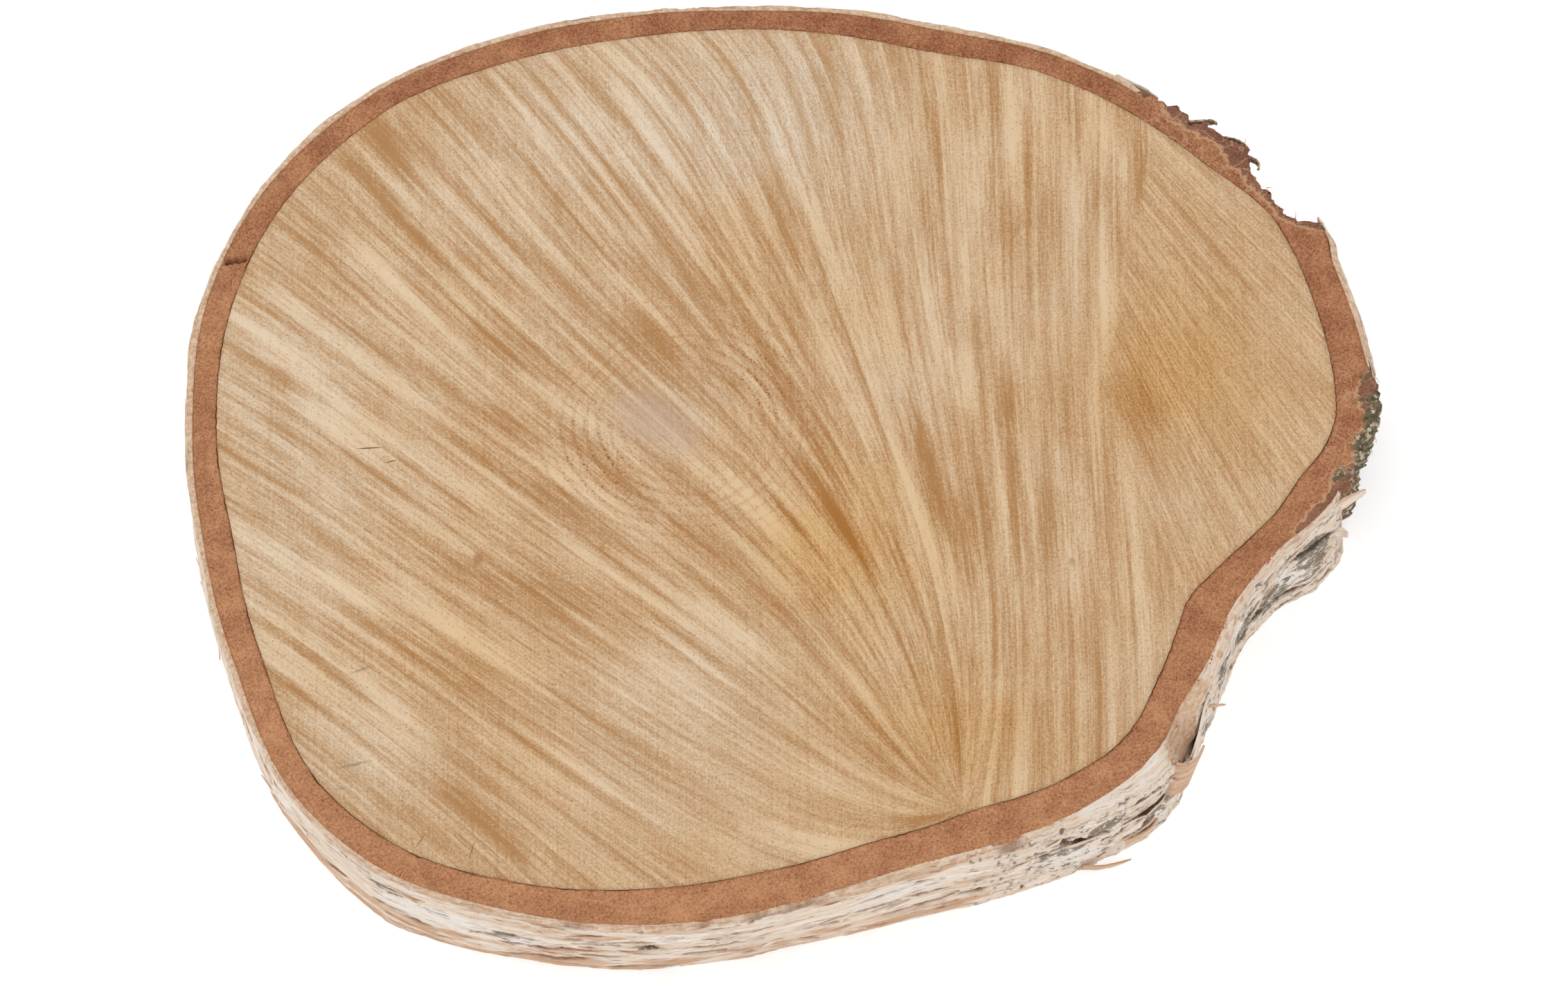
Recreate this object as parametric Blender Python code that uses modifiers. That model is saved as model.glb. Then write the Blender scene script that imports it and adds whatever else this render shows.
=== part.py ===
"""A slice of a birch trunk, sawn across the grain, with its bark still on.

Metres, +Z up. The slice lies on its lower sawn face and the origin is under the middle of its box. The wood is
one disc. The brown inner bark is a ring around it, thick and corky on the right and split on the left. The
papery outer bark wraps that ring, apart from the corky stretch, and its torn ends curl outwards.

Outlines are given as a forester would measure them, as (degrees, millimetres): a bearing from the middle of the
disc, counted anticlockwise from +X, and the distance to the edge in that direction.
"""

import math

import bmesh
import bpy
from mathutils import Vector, noise

MM = 0.001
THICKNESS = 20.0 * MM
SEAM = 0.3 * MM  # the cambium line between wood and bark, and the like line under the paper
BARK_INSET = 0.2 * MM  # the saw leaves the softer bark just short of the wood's two faces
PAPER_THICKNESS = 1.1 * MM
PAPER_RELIEF = 0.3 * MM
CORK_RELIEF = 1.1 * MM

COARSE_STEP = 2.5  # degrees between the columns of the smooth stretch
FINE_STEP = 1.0  # and of the corky one
CORKY_FROM, CORKY_TO = -14.0, 51.0
WALL_LEVELS = 5  # rows of points up the outside of the bark

# The edge of the wood. The hollow between 280 and 345 degrees is where the trunk folds in beside a root.
WOOD_EDGE = (
    (0, 107.5), (4, 113.6), (8, 117.0), (20, 119.5), (30, 121.0), (40, 117.0), (50, 114.6), (60, 112.0),
    (75, 106.8), (90, 107.7), (105, 110.1), (120, 115.6), (135, 122.4), (150, 124.5), (160, 123.2),
    (175, 118.7), (190, 114.4), (200, 114.4), (215, 116.8), (225, 114.4), (240, 105.0), (255, 95.2),
    (270, 87.5), (285, 83.7), (295, 84.0), (310, 88.9), (320, 91.3), (330, 89.3), (341, 87.9), (347, 92.1),
    (352, 97.8), (356, 103.1),
)

# The outer edge of the inner bark on the upper face. Plates of cork break it up from 28 to 50 degrees, and a
# mossy lump stands out from 1 to 12.
BARK_EDGE = (
    (0, 117.4), (1.6, 120.3), (3, 121.2), (6, 125.0), (8.5, 126.9), (12, 125.9), (16, 126.3), (24, 127.4),
    (27, 129.3), (28, 129.0), (29, 125.4), (30.5, 123.8), (33.5, 123.9), (35, 123.2), (36.5, 124.2),
    (38, 126.4), (39.2, 126.6), (40.3, 124.8), (41.6, 124.4), (43, 124.8), (44, 121.4), (45, 123.1),
    (48, 121.0), (51, 119.8), (60, 117.3), (75, 112.8), (90, 112.7), (105, 115.7), (120, 121.3), (135, 127.6),
    (150, 129.9), (160, 128.7), (175, 123.8), (190, 120.6), (200, 120.3), (215, 122.7), (225, 120.8),
    (240, 112.2), (255, 104.2), (265, 99.0), (275, 94.4), (287, 91.9), (300, 94.7), (312, 99.4), (320, 101.6),
    (328, 99.3), (335, 98.2), (341, 98.0), (345, 99.9), (350, 104.2), (354, 110.0), (357, 114.6),
)

# How far the foot of the bark stands out beyond its upper edge, where the trunk swells towards a root. The
# mossy lump at 4 degrees draws in instead.
FOOT_SWELL = (
    (0, 1.6), (2, 0.4), (4, -1.8), (6.5, -1.2), (12, 0.4), (45, 0.4), (180, 0.3), (215, -0.8), (233, 1.4),
    (260, -0.5), (285, 1.2), (305, 2.0), (316, 2.4), (328, 0.9), (343, 0.7), (348, 1.2), (350, 3.2),
    (351.5, 6.4), (354, 4.8), (357, 2.6),
)

# The split across the bark on the left, from the outside to the wood.
SPLIT_BEARING = 157.0
SPLIT_WIDTH_OUTSIDE = 1.4 * MM
SPLIT_WIDTH_INSIDE = 0.5 * MM
SPLIT_DEPTH = 14.0 * MM

# The papery bark: one long wrap and one short strip on the right, each between two bearings.
PAPER_WRAPS = {"paper_bark": (51, 358), "paper_bark_strip": (12, 27)}

# Torn tongues of the long wrap that roll outwards: bearing of the root, lowest and highest edge, length, total
# turn in degrees, and +1 where the tongue runs anticlockwise.
PAPER_TONGUES = (
    (357.0, 7.0, 19.0, 6.5, 75, 1),
    (326.0, 5.0, 18.5, 13.0, 200, -1),
    (330.5, 10.5, 12.5, 4.0, 60, 1),
    (313.5, 1.0, 4.0, 5.0, 45, 1),
)
TONGUE_THICKNESS = 0.8 * MM
TONGUE_STEPS = 12
TONGUE_ROOT_SINK = 0.5 * MM  # below the paper's outer face, so that tongue and wrap are one piece

WOOD_COLOUR = (0.62, 0.42, 0.22)
INNER_BARK_COLOUR = (0.38, 0.14, 0.065)
PAPER_COLOUR = (0.72, 0.60, 0.50)


def clear_scene():
    for item in list(bpy.data.objects):
        bpy.data.objects.remove(item)


def edge_curve(points):
    """A function from bearing to metres: a smooth closed curve through the points that never swings past them."""
    knots = sorted(points)
    bearings = [p[0] for p in knots]
    values = [p[1] * MM for p in knots]
    count = len(knots)

    def gap(i):
        return (bearings[(i + 1) % count] - bearings[i % count]) % 360

    slopes = [(values[(i + 1) % count] - values[i]) / gap(i) for i in range(count)]
    tangents = []
    for i in range(count):
        before, after = slopes[i - 1], slopes[i]
        same_way = before * after > 0
        tangents.append(2 * before * after / (before + after) if same_way else 0.0)

    def value_at(bearing):
        bearing %= 360
        i = max((k for k in range(count) if bearings[k] <= bearing), default=count - 1)
        width = gap(i)
        t = ((bearing - bearings[i]) % 360) / width
        start, end = values[i], values[(i + 1) % count]
        start_pull = tangents[i] * width
        end_pull = tangents[(i + 1) % count] * width
        return (
            start * (1 + 2 * t) * (1 - t) ** 2
            + start_pull * t * (1 - t) ** 2
            + end * t * t * (3 - 2 * t)
            + end_pull * t * t * (t - 1)
        )

    return value_at


wood_edge = edge_curve(WOOD_EDGE)
bark_edge = edge_curve(BARK_EDGE)
foot_swell = edge_curve(FOOT_SWELL)


def corkiness(bearing):
    """1 in the corky stretch, falling to 0 over its last few degrees."""
    turned = (bearing + 180) % 360 - 180
    inside = min(turned - CORKY_FROM, CORKY_TO - turned)
    return min(max(inside / 6, 0.0), 1.0)


def at(bearing, radius, height):
    angle = math.radians(bearing)
    return Vector((radius * math.cos(angle), radius * math.sin(angle), height))


def bark_wall(bearing, height):
    """Radius of the outside of the inner bark at that height."""
    share = height / THICKNESS
    radius = bark_edge(bearing) + foot_swell(bearing) * (1 - share)
    lump = noise.noise(at(bearing, radius, height) / (6 * MM))
    below_the_cut = min(4 * (1 - share), 1.0)
    return radius + CORK_RELIEF * corkiness(bearing) * lump * below_the_cut


def paper_face(bearing, height):
    """Radius of the outside of the papery bark at that height."""
    place = at(bearing, bark_edge(bearing), 0) / (14 * MM)
    place.z = height / (3.5 * MM)
    return bark_wall(bearing, height) + SEAM + PAPER_THICKNESS + PAPER_RELIEF * noise.noise(place)


def column_bearings():
    """Bearings once around the slice, close together in the corky stretch."""
    found = [0.0]
    while found[-1] < 360:
        step = FINE_STEP if corkiness(found[-1]) > 0 else COARSE_STEP
        found.append(found[-1] + step)
    return found[:-1]


def wall_heights():
    depth = THICKNESS - 2 * BARK_INSET
    return [BARK_INSET + depth * i / (WALL_LEVELS - 1) for i in range(WALL_LEVELS)]


def loft(name, sections, closed):
    """One body through a row of like-numbered sections, each a loop of points around its outline."""
    mesh = bmesh.new()
    loops = [[mesh.verts.new(point) for point in section] for section in sections]
    for i in range(len(loops) if closed else len(loops) - 1):
        near, far = loops[i], loops[(i + 1) % len(loops)]
        for j in range(len(near)):
            k = (j + 1) % len(near)
            mesh.faces.new((near[j], far[j], far[k], near[k]))
    if not closed:
        mesh.faces.new(loops[0])
        mesh.faces.new(list(reversed(loops[-1])))
    bmesh.ops.recalc_face_normals(mesh, faces=mesh.faces)
    data = bpy.data.meshes.new(name)
    mesh.to_mesh(data)
    mesh.free()
    return bpy.data.objects.new(name, data)


def material(name, colour, roughness):
    made = bpy.data.materials.new(name)
    made.use_nodes = True
    shader = made.node_tree.nodes["Principled BSDF"]
    shader.inputs["Base Color"].default_value = (*colour, 1)
    shader.inputs["Roughness"].default_value = roughness
    shader.inputs["Metallic"].default_value = 0.0
    return made


def finish_part(part, collection, finish, parent):
    collection.objects.link(part)
    part.data.materials.append(finish)
    part.data.shade_smooth()
    part.data.set_sharp_from_angle(angle=math.radians(35))
    part.parent = parent
    return part


def boolean(part, cutter, operation):
    change = part.modifiers.new(operation.title(), "BOOLEAN")
    change.operation = operation
    change.object = cutter
    change.solver = "EXACT"


def make_wood():
    """The sawn disc: a plain slab whose outline is the wood's edge."""
    loops = [[at(b, wood_edge(b), z) for b in column_bearings()] for z in (0, THICKNESS)]
    mesh = bmesh.new()
    foot, rim = ([mesh.verts.new(point) for point in loop] for loop in loops)
    mesh.faces.new(rim)
    mesh.faces.new(list(reversed(foot)))
    for i in range(len(foot)):
        k = (i + 1) % len(foot)
        mesh.faces.new((foot[i], foot[k], rim[k], rim[i]))
    data = bpy.data.meshes.new("wood")
    mesh.to_mesh(data)
    mesh.free()
    return bpy.data.objects.new("wood", data)


def make_inner_bark():
    """The brown ring, straight against the wood and rough on the outside."""
    sections = []
    for bearing in column_bearings():
        outside = [at(bearing, bark_wall(bearing, z), z) for z in wall_heights()]
        inside = [at(bearing, wood_edge(bearing) + SEAM, z) for z in (wall_heights()[-1], BARK_INSET)]
        sections.append(outside + inside)
    return loft("inner_bark", sections, closed=True)


def make_paper(name, first, last):
    """A wrap of papery bark between two bearings. Its points pair with the inner bark's, so the two run level."""
    sections = []
    for bearing in column_bearings():
        if first <= bearing <= last:
            inside = [at(bearing, bark_wall(bearing, z) + SEAM, z) for z in wall_heights()]
            outside = [at(bearing, paper_face(bearing, z), z) for z in reversed(wall_heights())]
            sections.append(inside + outside)
    return loft(name, sections, closed=False)


def make_tongue(bearing, low, high, length, turn, way):
    """A torn end of paper as an open sheet, thickened by Solidify, that rolls away from the trunk."""
    middle = (low + high) / 2 * MM
    root = at(bearing, paper_face(bearing, middle) - TONGUE_ROOT_SINK, 0)
    ahead = at(bearing + way, paper_face(bearing + way, middle) - TONGUE_ROOT_SINK, 0)
    heading = math.atan2(ahead.y - root.y, ahead.x - root.x)
    spot, spine = root.copy(), [root.copy()]
    for i in range(TONGUE_STEPS):
        share = (i + 0.5) / TONGUE_STEPS
        bent = heading - way * math.radians(turn) * share**1.2
        spot += Vector((math.cos(bent), math.sin(bent), 0)) * length * MM / TONGUE_STEPS
        spine.append(spot.copy())
    mesh = bmesh.new()
    rows = []
    for i, point in enumerate(spine):
        narrowing = 0.12 * (high - low) * MM * i / TONGUE_STEPS
        ends = (low * MM + narrowing, high * MM - narrowing)
        rows.append([mesh.verts.new((point.x, point.y, z)) for z in ends])
    for near, far in zip(rows, rows[1:]):
        mesh.faces.new((near[0], far[0], far[1], near[1]))
    data = bpy.data.meshes.new("tongue")
    mesh.to_mesh(data)
    mesh.free()
    tongue = bpy.data.objects.new("tongue", data)
    thickness = tongue.modifiers.new("Solidify", "SOLIDIFY")
    thickness.thickness = TONGUE_THICKNESS
    thickness.offset = 0
    return tongue


def make_split():
    """The wedge that opens the bark on the left."""
    near = wood_edge(SPLIT_BEARING) - 0.1 * MM
    far = paper_face(SPLIT_BEARING, THICKNESS) + 3 * MM
    half_near = math.degrees(SPLIT_WIDTH_INSIDE / 2 / near)
    half_far = math.degrees(SPLIT_WIDTH_OUTSIDE / 2 / far)
    corners = ((near, -half_near), (far, -half_far), (far, half_far), (near, half_near))
    levels = (THICKNESS - SPLIT_DEPTH, THICKNESS + 2 * MM)
    sections = [[at(SPLIT_BEARING + turn, radius, z) for radius, turn in corners] for z in levels]
    return loft("split", sections, closed=False)


def hide_helper(helper, collection, parent):
    collection.objects.link(helper)
    helper.hide_render = True
    helper.display_type = "WIRE"
    helper.parent = parent
    return helper


def centre_on_floor(holder, parts):
    """Moves the slice so that the origin is under the middle of its box."""
    bpy.context.view_layer.update()
    graph = bpy.context.evaluated_depsgraph_get()
    corners = [Vector(corner) for part in parts for corner in part.evaluated_get(graph).bound_box]
    middle_x = (min(c.x for c in corners) + max(c.x for c in corners)) / 2
    middle_y = (min(c.y for c in corners) + max(c.y for c in corners)) / 2
    holder.location = (-middle_x, -middle_y, 0)


def main():
    clear_scene()
    collection = bpy.data.collections.new("birch_slice")
    helpers = bpy.data.collections.new("cutters")
    bpy.context.scene.collection.children.link(collection)
    bpy.context.scene.collection.children.link(helpers)
    holder = bpy.data.objects.new("slice_centre", None)
    collection.objects.link(holder)

    sawn_wood = material("sawn_wood", WOOD_COLOUR, 0.7)
    brown_bark = material("inner_bark", INNER_BARK_COLOUR, 0.9)
    papery_bark = material("papery_bark", PAPER_COLOUR, 0.75)

    wood = finish_part(make_wood(), collection, sawn_wood, holder)
    inner_bark = finish_part(make_inner_bark(), collection, brown_bark, holder)
    split = hide_helper(make_split(), helpers, holder)
    boolean(inner_bark, split, "DIFFERENCE")

    wraps = []
    for name, (first, last) in PAPER_WRAPS.items():
        wraps.append(finish_part(make_paper(name, first, last), collection, papery_bark, holder))
    long_wrap = wraps[0]
    for tongue in PAPER_TONGUES:
        boolean(long_wrap, hide_helper(make_tongue(*tongue), helpers, holder), "UNION")
    boolean(long_wrap, split, "DIFFERENCE")
    centre_on_floor(holder, [wood, inner_bark, *wraps])


main()
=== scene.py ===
"""Looks of a birch slice: rough-sawn end grain, granular brown inner bark, and layered papery bark."""

import math
import random

import bpy
import numpy as np
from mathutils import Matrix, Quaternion, Vector, noise
from mathutils.bvhtree import BVHTree
from mathutils.geometry import delaunay_2d_cdt


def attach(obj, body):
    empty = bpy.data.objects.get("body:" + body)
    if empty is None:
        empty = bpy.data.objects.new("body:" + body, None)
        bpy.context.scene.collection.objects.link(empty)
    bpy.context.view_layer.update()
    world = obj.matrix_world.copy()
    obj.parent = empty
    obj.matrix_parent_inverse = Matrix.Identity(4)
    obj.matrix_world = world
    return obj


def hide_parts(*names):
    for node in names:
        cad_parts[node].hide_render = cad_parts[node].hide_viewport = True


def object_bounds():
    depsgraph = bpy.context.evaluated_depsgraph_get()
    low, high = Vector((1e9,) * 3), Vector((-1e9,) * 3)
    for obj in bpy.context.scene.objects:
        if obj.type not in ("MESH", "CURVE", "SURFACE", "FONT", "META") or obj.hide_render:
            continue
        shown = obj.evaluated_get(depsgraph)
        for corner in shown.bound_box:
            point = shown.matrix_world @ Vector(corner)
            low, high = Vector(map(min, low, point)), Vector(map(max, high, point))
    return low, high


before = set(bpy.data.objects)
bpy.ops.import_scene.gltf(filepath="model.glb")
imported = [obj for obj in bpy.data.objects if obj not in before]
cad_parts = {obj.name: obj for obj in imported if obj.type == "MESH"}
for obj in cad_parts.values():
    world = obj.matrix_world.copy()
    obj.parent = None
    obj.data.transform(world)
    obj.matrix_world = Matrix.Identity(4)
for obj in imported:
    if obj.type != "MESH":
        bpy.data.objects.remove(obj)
cad_box = [list(corner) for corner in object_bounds()]

# The wood.
# One disc of birch, cut across the trunk with a chain saw and left rough. The saw has fanned its marks over
# the face from the side where it entered, and a second cut met the first on the right.

# Lengths are millimetres, and bearings are degrees anticlockwise from +X, seen from this point of the face.
MIDDLE = Vector((-0.12, -6.30, 0))
THICKNESS = 20.0
COLUMNS = 1200  # places round the slice at which its shape is read
OUTSIDE = 200  # a reach that is beyond the slice on every bearing


def solid(name):
    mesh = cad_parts[name].data
    corners = [v.co * 1000 for v in mesh.vertices]
    return BVHTree.FromPolygons(corners, [tuple(p.vertices) for p in mesh.polygons])


def outward(bearing):
    angle = math.radians(bearing)
    return Vector((math.cos(angle), math.sin(angle), 0))


def reach(shape, bearing, height):
    """How far the shape stands out from the middle on that bearing, at that height."""
    way = outward(bearing)
    hit = shape.ray_cast(MIDDLE + way * OUTSIDE + Vector((0, 0, height)), -way)[0]
    return (hit - MIDDLE).xy.length


wood_solid = solid("wood")
bearings = [360 * i / COLUMNS for i in range(COLUMNS)]
wood_reach = [reach(wood_solid, b, THICKNESS / 2) for b in bearings]


def between_columns(values, bearing):
    return np.interp(np.asarray(bearing) % 360, bearings + [360], list(values) + [values[0]])


def clip_to_box(points):
    """Keeps points from standing outside the solids' own box by a fraction of a millimetre."""
    return np.clip(np.asarray(points), np.array(cad_box[0]) * 1000, np.array(cad_box[1]) * 1000)


def piece(name, points, faces, look):
    """A mesh object from millimetre points, riding on the slice, with its finish and material slot."""
    mesh = bpy.data.meshes.new(name)
    mesh.from_pydata(clip_to_box(points) * 0.001, [], faces)
    mesh.validate()
    mesh.shade_smooth()
    mesh.materials.append(look)
    made = bpy.data.objects.new(name, mesh)
    bpy.context.scene.collection.objects.link(made)
    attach(made, "root")
    return made


def store(made, **values):
    """Keeps one number per point, for the material to read by name."""
    for name, numbers in values.items():
        kept = made.data.attributes.new(name, "FLOAT", "POINT")
        kept.data.foreach_set("value", np.asarray(numbers, np.float32))


# How the saw marks run. Between two bearings they fan out from the entry, leaning a little past it, and
# beside the fan they run side by side.
SAW_ENTRY = (36.4, -80.7)  # the marks of the first cut fan out from here
SECOND_ENTRY = (22.0, 142.2)  # and those of the second from here, outside the slice
LEFT_OF_FAN, RIGHT_OF_FAN, FAN_LEAN = 143, 89, 6
FAN_EDGE, FAN_FADE = 0.12, 0.22  # radians right of straight back: where the fan ends, and how softly
NEAR_ENTRY = 26  # so close to the entry every mark points at it
POWERS = 5  # x and y are taken up to one power less than this
MARKS_PER_MM = 0.12
FIT_STEP, FACE_REACH = 6.0, 122  # how close together, and how far out, the law above is asked for


def saw_curves(x, y):
    """Values and slopes of the curves whose sum numbers the saw marks: powers of x and y, and the fan."""
    values, slopes_x, slopes_y = [], [], []
    for i in range(POWERS):
        for j in range(POWERS - i):
            if i + j:
                values.append((x / 100) ** i * (y / 100) ** j)
                slopes_x.append(i * (x / 100) ** max(i - 1, 0) * (y / 100) ** j / 100)
                slopes_y.append(j * (x / 100) ** i * (y / 100) ** max(j - 1, 0) / 100)
    east, north = x - SAW_ENTRY[0], y - SAW_ENTRY[1]
    away = east**2 + north**2 + 4  # the 4 keeps the entry itself finite
    turn = np.arctan2(east, north)
    past_fan = np.maximum(turn - FAN_EDGE, 0)
    fan = np.exp(-past_fan / FAN_FADE)
    values.append(turn - past_fan + FAN_FADE * (1 - fan))
    slopes_x.append(fan * north / away)
    slopes_y.append(-fan * east / away)
    return np.array(values).T, np.array(slopes_x).T, np.array(slopes_y).T


def fit_saw_marks():
    """Weights of the curves above, so that each mark keeps one number along its whole line."""
    columns, rows = np.arange(-115, 92, FIT_STEP), np.arange(-95, 100, FIT_STEP)
    x, y = (side.ravel() for side in np.meshgrid(columns, rows))
    east, north = x - SAW_ENTRY[0], y - SAW_ENTRY[1]
    on_face = (np.hypot(x, y) < FACE_REACH) & ((north > 5) | (east < -6))
    x, y, east, north = x[on_face], y[on_face], east[on_face], north[on_face]
    radial = np.arctan2(north, east)
    along = np.radians(np.clip(np.degrees(radial) % 360 + FAN_LEAN, RIGHT_OF_FAN, LEFT_OF_FAN))
    in_fan = (np.hypot(east, north) < NEAR_ENTRY) & (np.arctan2(east, north) < FAN_EDGE)
    along = np.where(in_fan, radial, along)
    _, slopes_x, slopes_y = saw_curves(x, y)
    level = slopes_x * np.cos(along)[:, None] + slopes_y * np.sin(along)[:, None]
    rising = slopes_x * np.sin(along)[:, None] - slopes_y * np.cos(along)[:, None]
    wanted = np.concatenate([np.zeros(len(x)), np.full(len(x), MARKS_PER_MM)])
    return np.linalg.lstsq(np.vstack([level, MARKS_PER_MM * rising]), wanted, rcond=None)[0]


HEART = (-21.0, 6.0)  # the middle of the growth rings

# Soft patches where the sap has turned the wood golden (above 0) or left it pale: x, y, radius, strength.
SAP_PATCHES = (
    (10, -20, 20, 0.8), (-5, 55, 15, 0.5), (85, 20, 20, 0.8), (35, -65, 15, 0.8), (-65, -45, 20, 0.4),
    (-5, 80, 25, -1.0), (-50, 75, 30, -0.5), (-105, 20, 25, -0.5), (-105, -25, 20, -0.5),
    (-85, -75, 20, -0.5), (-20, -55, 20, -0.4),
)

# The seam between the two cuts: the x where they meet at each y, and how softly.
SEAM_Y = (-60, -20, 15, 71, 90)
SEAM_X = (92, 76, 66.7, 78.3, 82)
SEAM_BLUR = (14, 8, 2, 0.8, 0.8)


def linear(code):
    """An sRGB hex colour as the linear one that shaders take."""
    parts = [int(code[i : i + 2], 16) / 255 for i in (1, 3, 5)]
    return (*(c / 12.92 if c <= 0.04045 else ((c + 0.055) / 1.055) ** 2.4 for c in parts), 1)


def start_look(name):
    look = bpy.data.materials.new(name)
    look.use_nodes = True
    return look, look.node_tree, look.node_tree.nodes["Principled BSDF"]


def add(tree, kind, inputs=None, output=0, **settings):
    """Adds a node with its settings and links, and gives back one of its outputs."""
    made = tree.nodes.new(kind)
    for name, value in settings.items():
        setattr(made, name, value)
    for socket, source in (inputs or {}).items():
        if isinstance(source, bpy.types.NodeSocket):
            tree.links.new(source, made.inputs[socket])
        else:
            made.inputs[socket].default_value = source
    return made.outputs[output]


# Rough-sawn birch: cut across its fibres, so dry and matt all over. The eye gets soft pale and tan stripes
# along the saw marks, finer scratches within them, and a fine felt of torn fibre ends.
rough_sawn_birch, tree, shader = start_look("rough_sawn_birch")
across_first, along_first, spread_first = (
    add(tree, "ShaderNodeAttribute", output=2, attribute_name=name)
    for name in ("across_first", "along_first", "spread_first")
)
across_second, along_second, spread_second = (
    add(tree, "ShaderNodeAttribute", output=2, attribute_name=name)
    for name in ("across_second", "along_second", "spread_second")
)
past_seam, golden, bold_mark, ring_share, liveliness = (
    add(tree, "ShaderNodeAttribute", output=2, attribute_name=name)
    for name in ("past_seam", "golden", "bold_mark", "ring_share", "liveliness")
)
place = add(tree, "ShaderNodeTexCoord", output=3)
place = add(tree, "ShaderNodeVectorMath", {0: place, 1: (1000, 1000, 1000)}, operation="MULTIPLY")
second_cut = add(
    tree, "ShaderNodeMapRange", {0: past_seam, 1: -1.0, 2: 1.0}, interpolation_type="SMOOTHSTEP"
)


def saw_marks(across, along, spread, layers):
    """Noise drawn out along the saw marks. Its width stays the same in millimetres though the marks fan out.

    Two copies of the noise, one twice as fine as the other, are blended by how far the marks are spread here.
    A layer is how many fit in one broad mark, its length in millimetres, its detail, roughness and strength.
    """
    whole = add(tree, "ShaderNodeMath", {0: spread}, operation="FLOOR")
    share = add(tree, "ShaderNodeMath", {0: spread, 1: whole}, operation="SUBTRACT")
    other = add(tree, "ShaderNodeMath", {0: 1.0, 1: share}, operation="SUBTRACT")
    loss = add(tree, "ShaderNodeMath", {0: share, 1: share}, operation="MULTIPLY")
    loss = add(tree, "ShaderNodeMath", {0: other, 1: other, 2: loss}, operation="MULTIPLY_ADD")
    gain = add(tree, "ShaderNodeMath", {0: loss}, operation="INVERSE_SQRT")
    coarse = add(tree, "ShaderNodeMath", {0: 2.0, 1: whole}, operation="POWER")
    coarse = add(tree, "ShaderNodeMath", {0: coarse, 1: across}, operation="MULTIPLY")
    drawn = []
    for many, length, detail, roughness, strength in layers:
        pair = []
        for finer in (1, 2):
            wide = add(tree, "ShaderNodeMath", {0: coarse, 1: many * finer}, operation="MULTIPLY")
            long = add(tree, "ShaderNodeMath", {0: along, 1: 1 / length}, operation="MULTIPLY")
            spot = add(tree, "ShaderNodeCombineXYZ", {0: wide, 1: long})
            settings = {"Vector": spot, "Scale": 1.0, "Detail": detail, "Roughness": roughness}
            pair.append(add(tree, "ShaderNodeTexNoise", settings, noise_dimensions="2D"))
        both = add(tree, "ShaderNodeMix", {0: share, 2: pair[0], 3: pair[1]}, data_type="FLOAT")
        both = add(tree, "ShaderNodeMath", {0: both, 1: 0.5}, operation="SUBTRACT")
        both = add(tree, "ShaderNodeMath", {0: both, 1: gain}, operation="MULTIPLY")
        drawn.append(add(tree, "ShaderNodeMath", {0: both, 1: strength}, operation="MULTIPLY"))
    total = drawn[0]
    for layer in drawn[1:]:
        total = add(tree, "ShaderNodeMath", {0: total, 1: layer}, operation="ADD")
    return total


FIRST_CUT_LAYERS = ((1, 42, 1.0, 0.5, 1.4), (2.6, 50, 3.0, 0.7, 1.85), (13, 5, 2.0, 0.6, 1.0))
SECOND_CUT_LAYERS = ((1, 60, 1.0, 0.5, 0.3), (5, 70, 3.0, 0.75, 1.5), (13, 5, 2.0, 0.6, 1.0))
first_marks = saw_marks(across_first, along_first, spread_first, FIRST_CUT_LAYERS)
first_marks = add(tree, "ShaderNodeMath", {0: first_marks, 1: liveliness}, operation="MULTIPLY")
second_marks = saw_marks(across_second, along_second, spread_second, SECOND_CUT_LAYERS)
striped = add(tree, "ShaderNodeMix", {0: second_cut, 2: first_marks, 3: second_marks}, data_type="FLOAT")

# The grain is drawn at half a millimetre, coarser than real fibre ends, so that it shows.
felt = add(tree, "ShaderNodeTexNoise", {"Vector": place, "Scale": 1.9, "Detail": 4.0, "Roughness": 0.8})
felt = add(tree, "ShaderNodeMapRange", {0: felt, 1: 0.34, 2: 0.66, 3: -0.4, 4: 0.4})
clouds = add(tree, "ShaderNodeTexNoise", {"Vector": place, "Scale": 0.07, "Detail": 3.0, "Roughness": 0.6})
clouds = add(tree, "ShaderNodeMapRange", {0: clouds, 1: 0.3, 2: 0.7, 3: -0.08, 4: 0.08})

# A few long shallow scratches cross the others.
crossing = add(tree, "ShaderNodeMapping", {0: place, 2: (0, 0, math.radians(17)), 3: (2.6, 0.02, 1)})
crossing = add(tree, "ShaderNodeTexNoise", {"Vector": crossing, "Scale": 1.0, "Detail": 2.0})
crossing = add(tree, "ShaderNodeMapRange", {0: crossing, 1: 0.3, 2: 0.7, 3: -0.12, 4: 0.12})
dark_share = add(tree, "ShaderNodeMath", {0: 0.5, 1: bold_mark}, operation="SUBTRACT")
for layer in (striped, felt, clouds, crossing):
    dark_share = add(tree, "ShaderNodeMath", {0: dark_share, 1: layer}, operation="ADD")
dark_share = add(
    tree, "ShaderNodeMapRange", {0: dark_share, 1: -0.35, 2: 1.35}, interpolation_type="SMOOTHSTEP"
)
blotch = add(tree, "ShaderNodeTexNoise", {"Vector": place, "Scale": 0.045, "Detail": 4.0, "Roughness": 0.65})
blotch = add(tree, "ShaderNodeMapRange", {0: blotch, 1: 0.3, 2: 0.7, 3: -0.25, 4: 0.25})
tone = add(tree, "ShaderNodeMath", {0: golden, 1: blotch}, operation="ADD")
tone = add(tree, "ShaderNodeMapRange", {0: tone, 1: -1.1, 2: 0.8})
pale = add(
    tree, "ShaderNodeMix", {0: tone, 6: linear("#EADBC6"), 7: linear("#E0B983")}, output=2, data_type="RGBA"
)
dark = add(
    tree, "ShaderNodeMix", {0: tone, 6: linear("#BC966B"), 7: linear("#A86E2D")}, output=2, data_type="RGBA"
)
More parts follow.
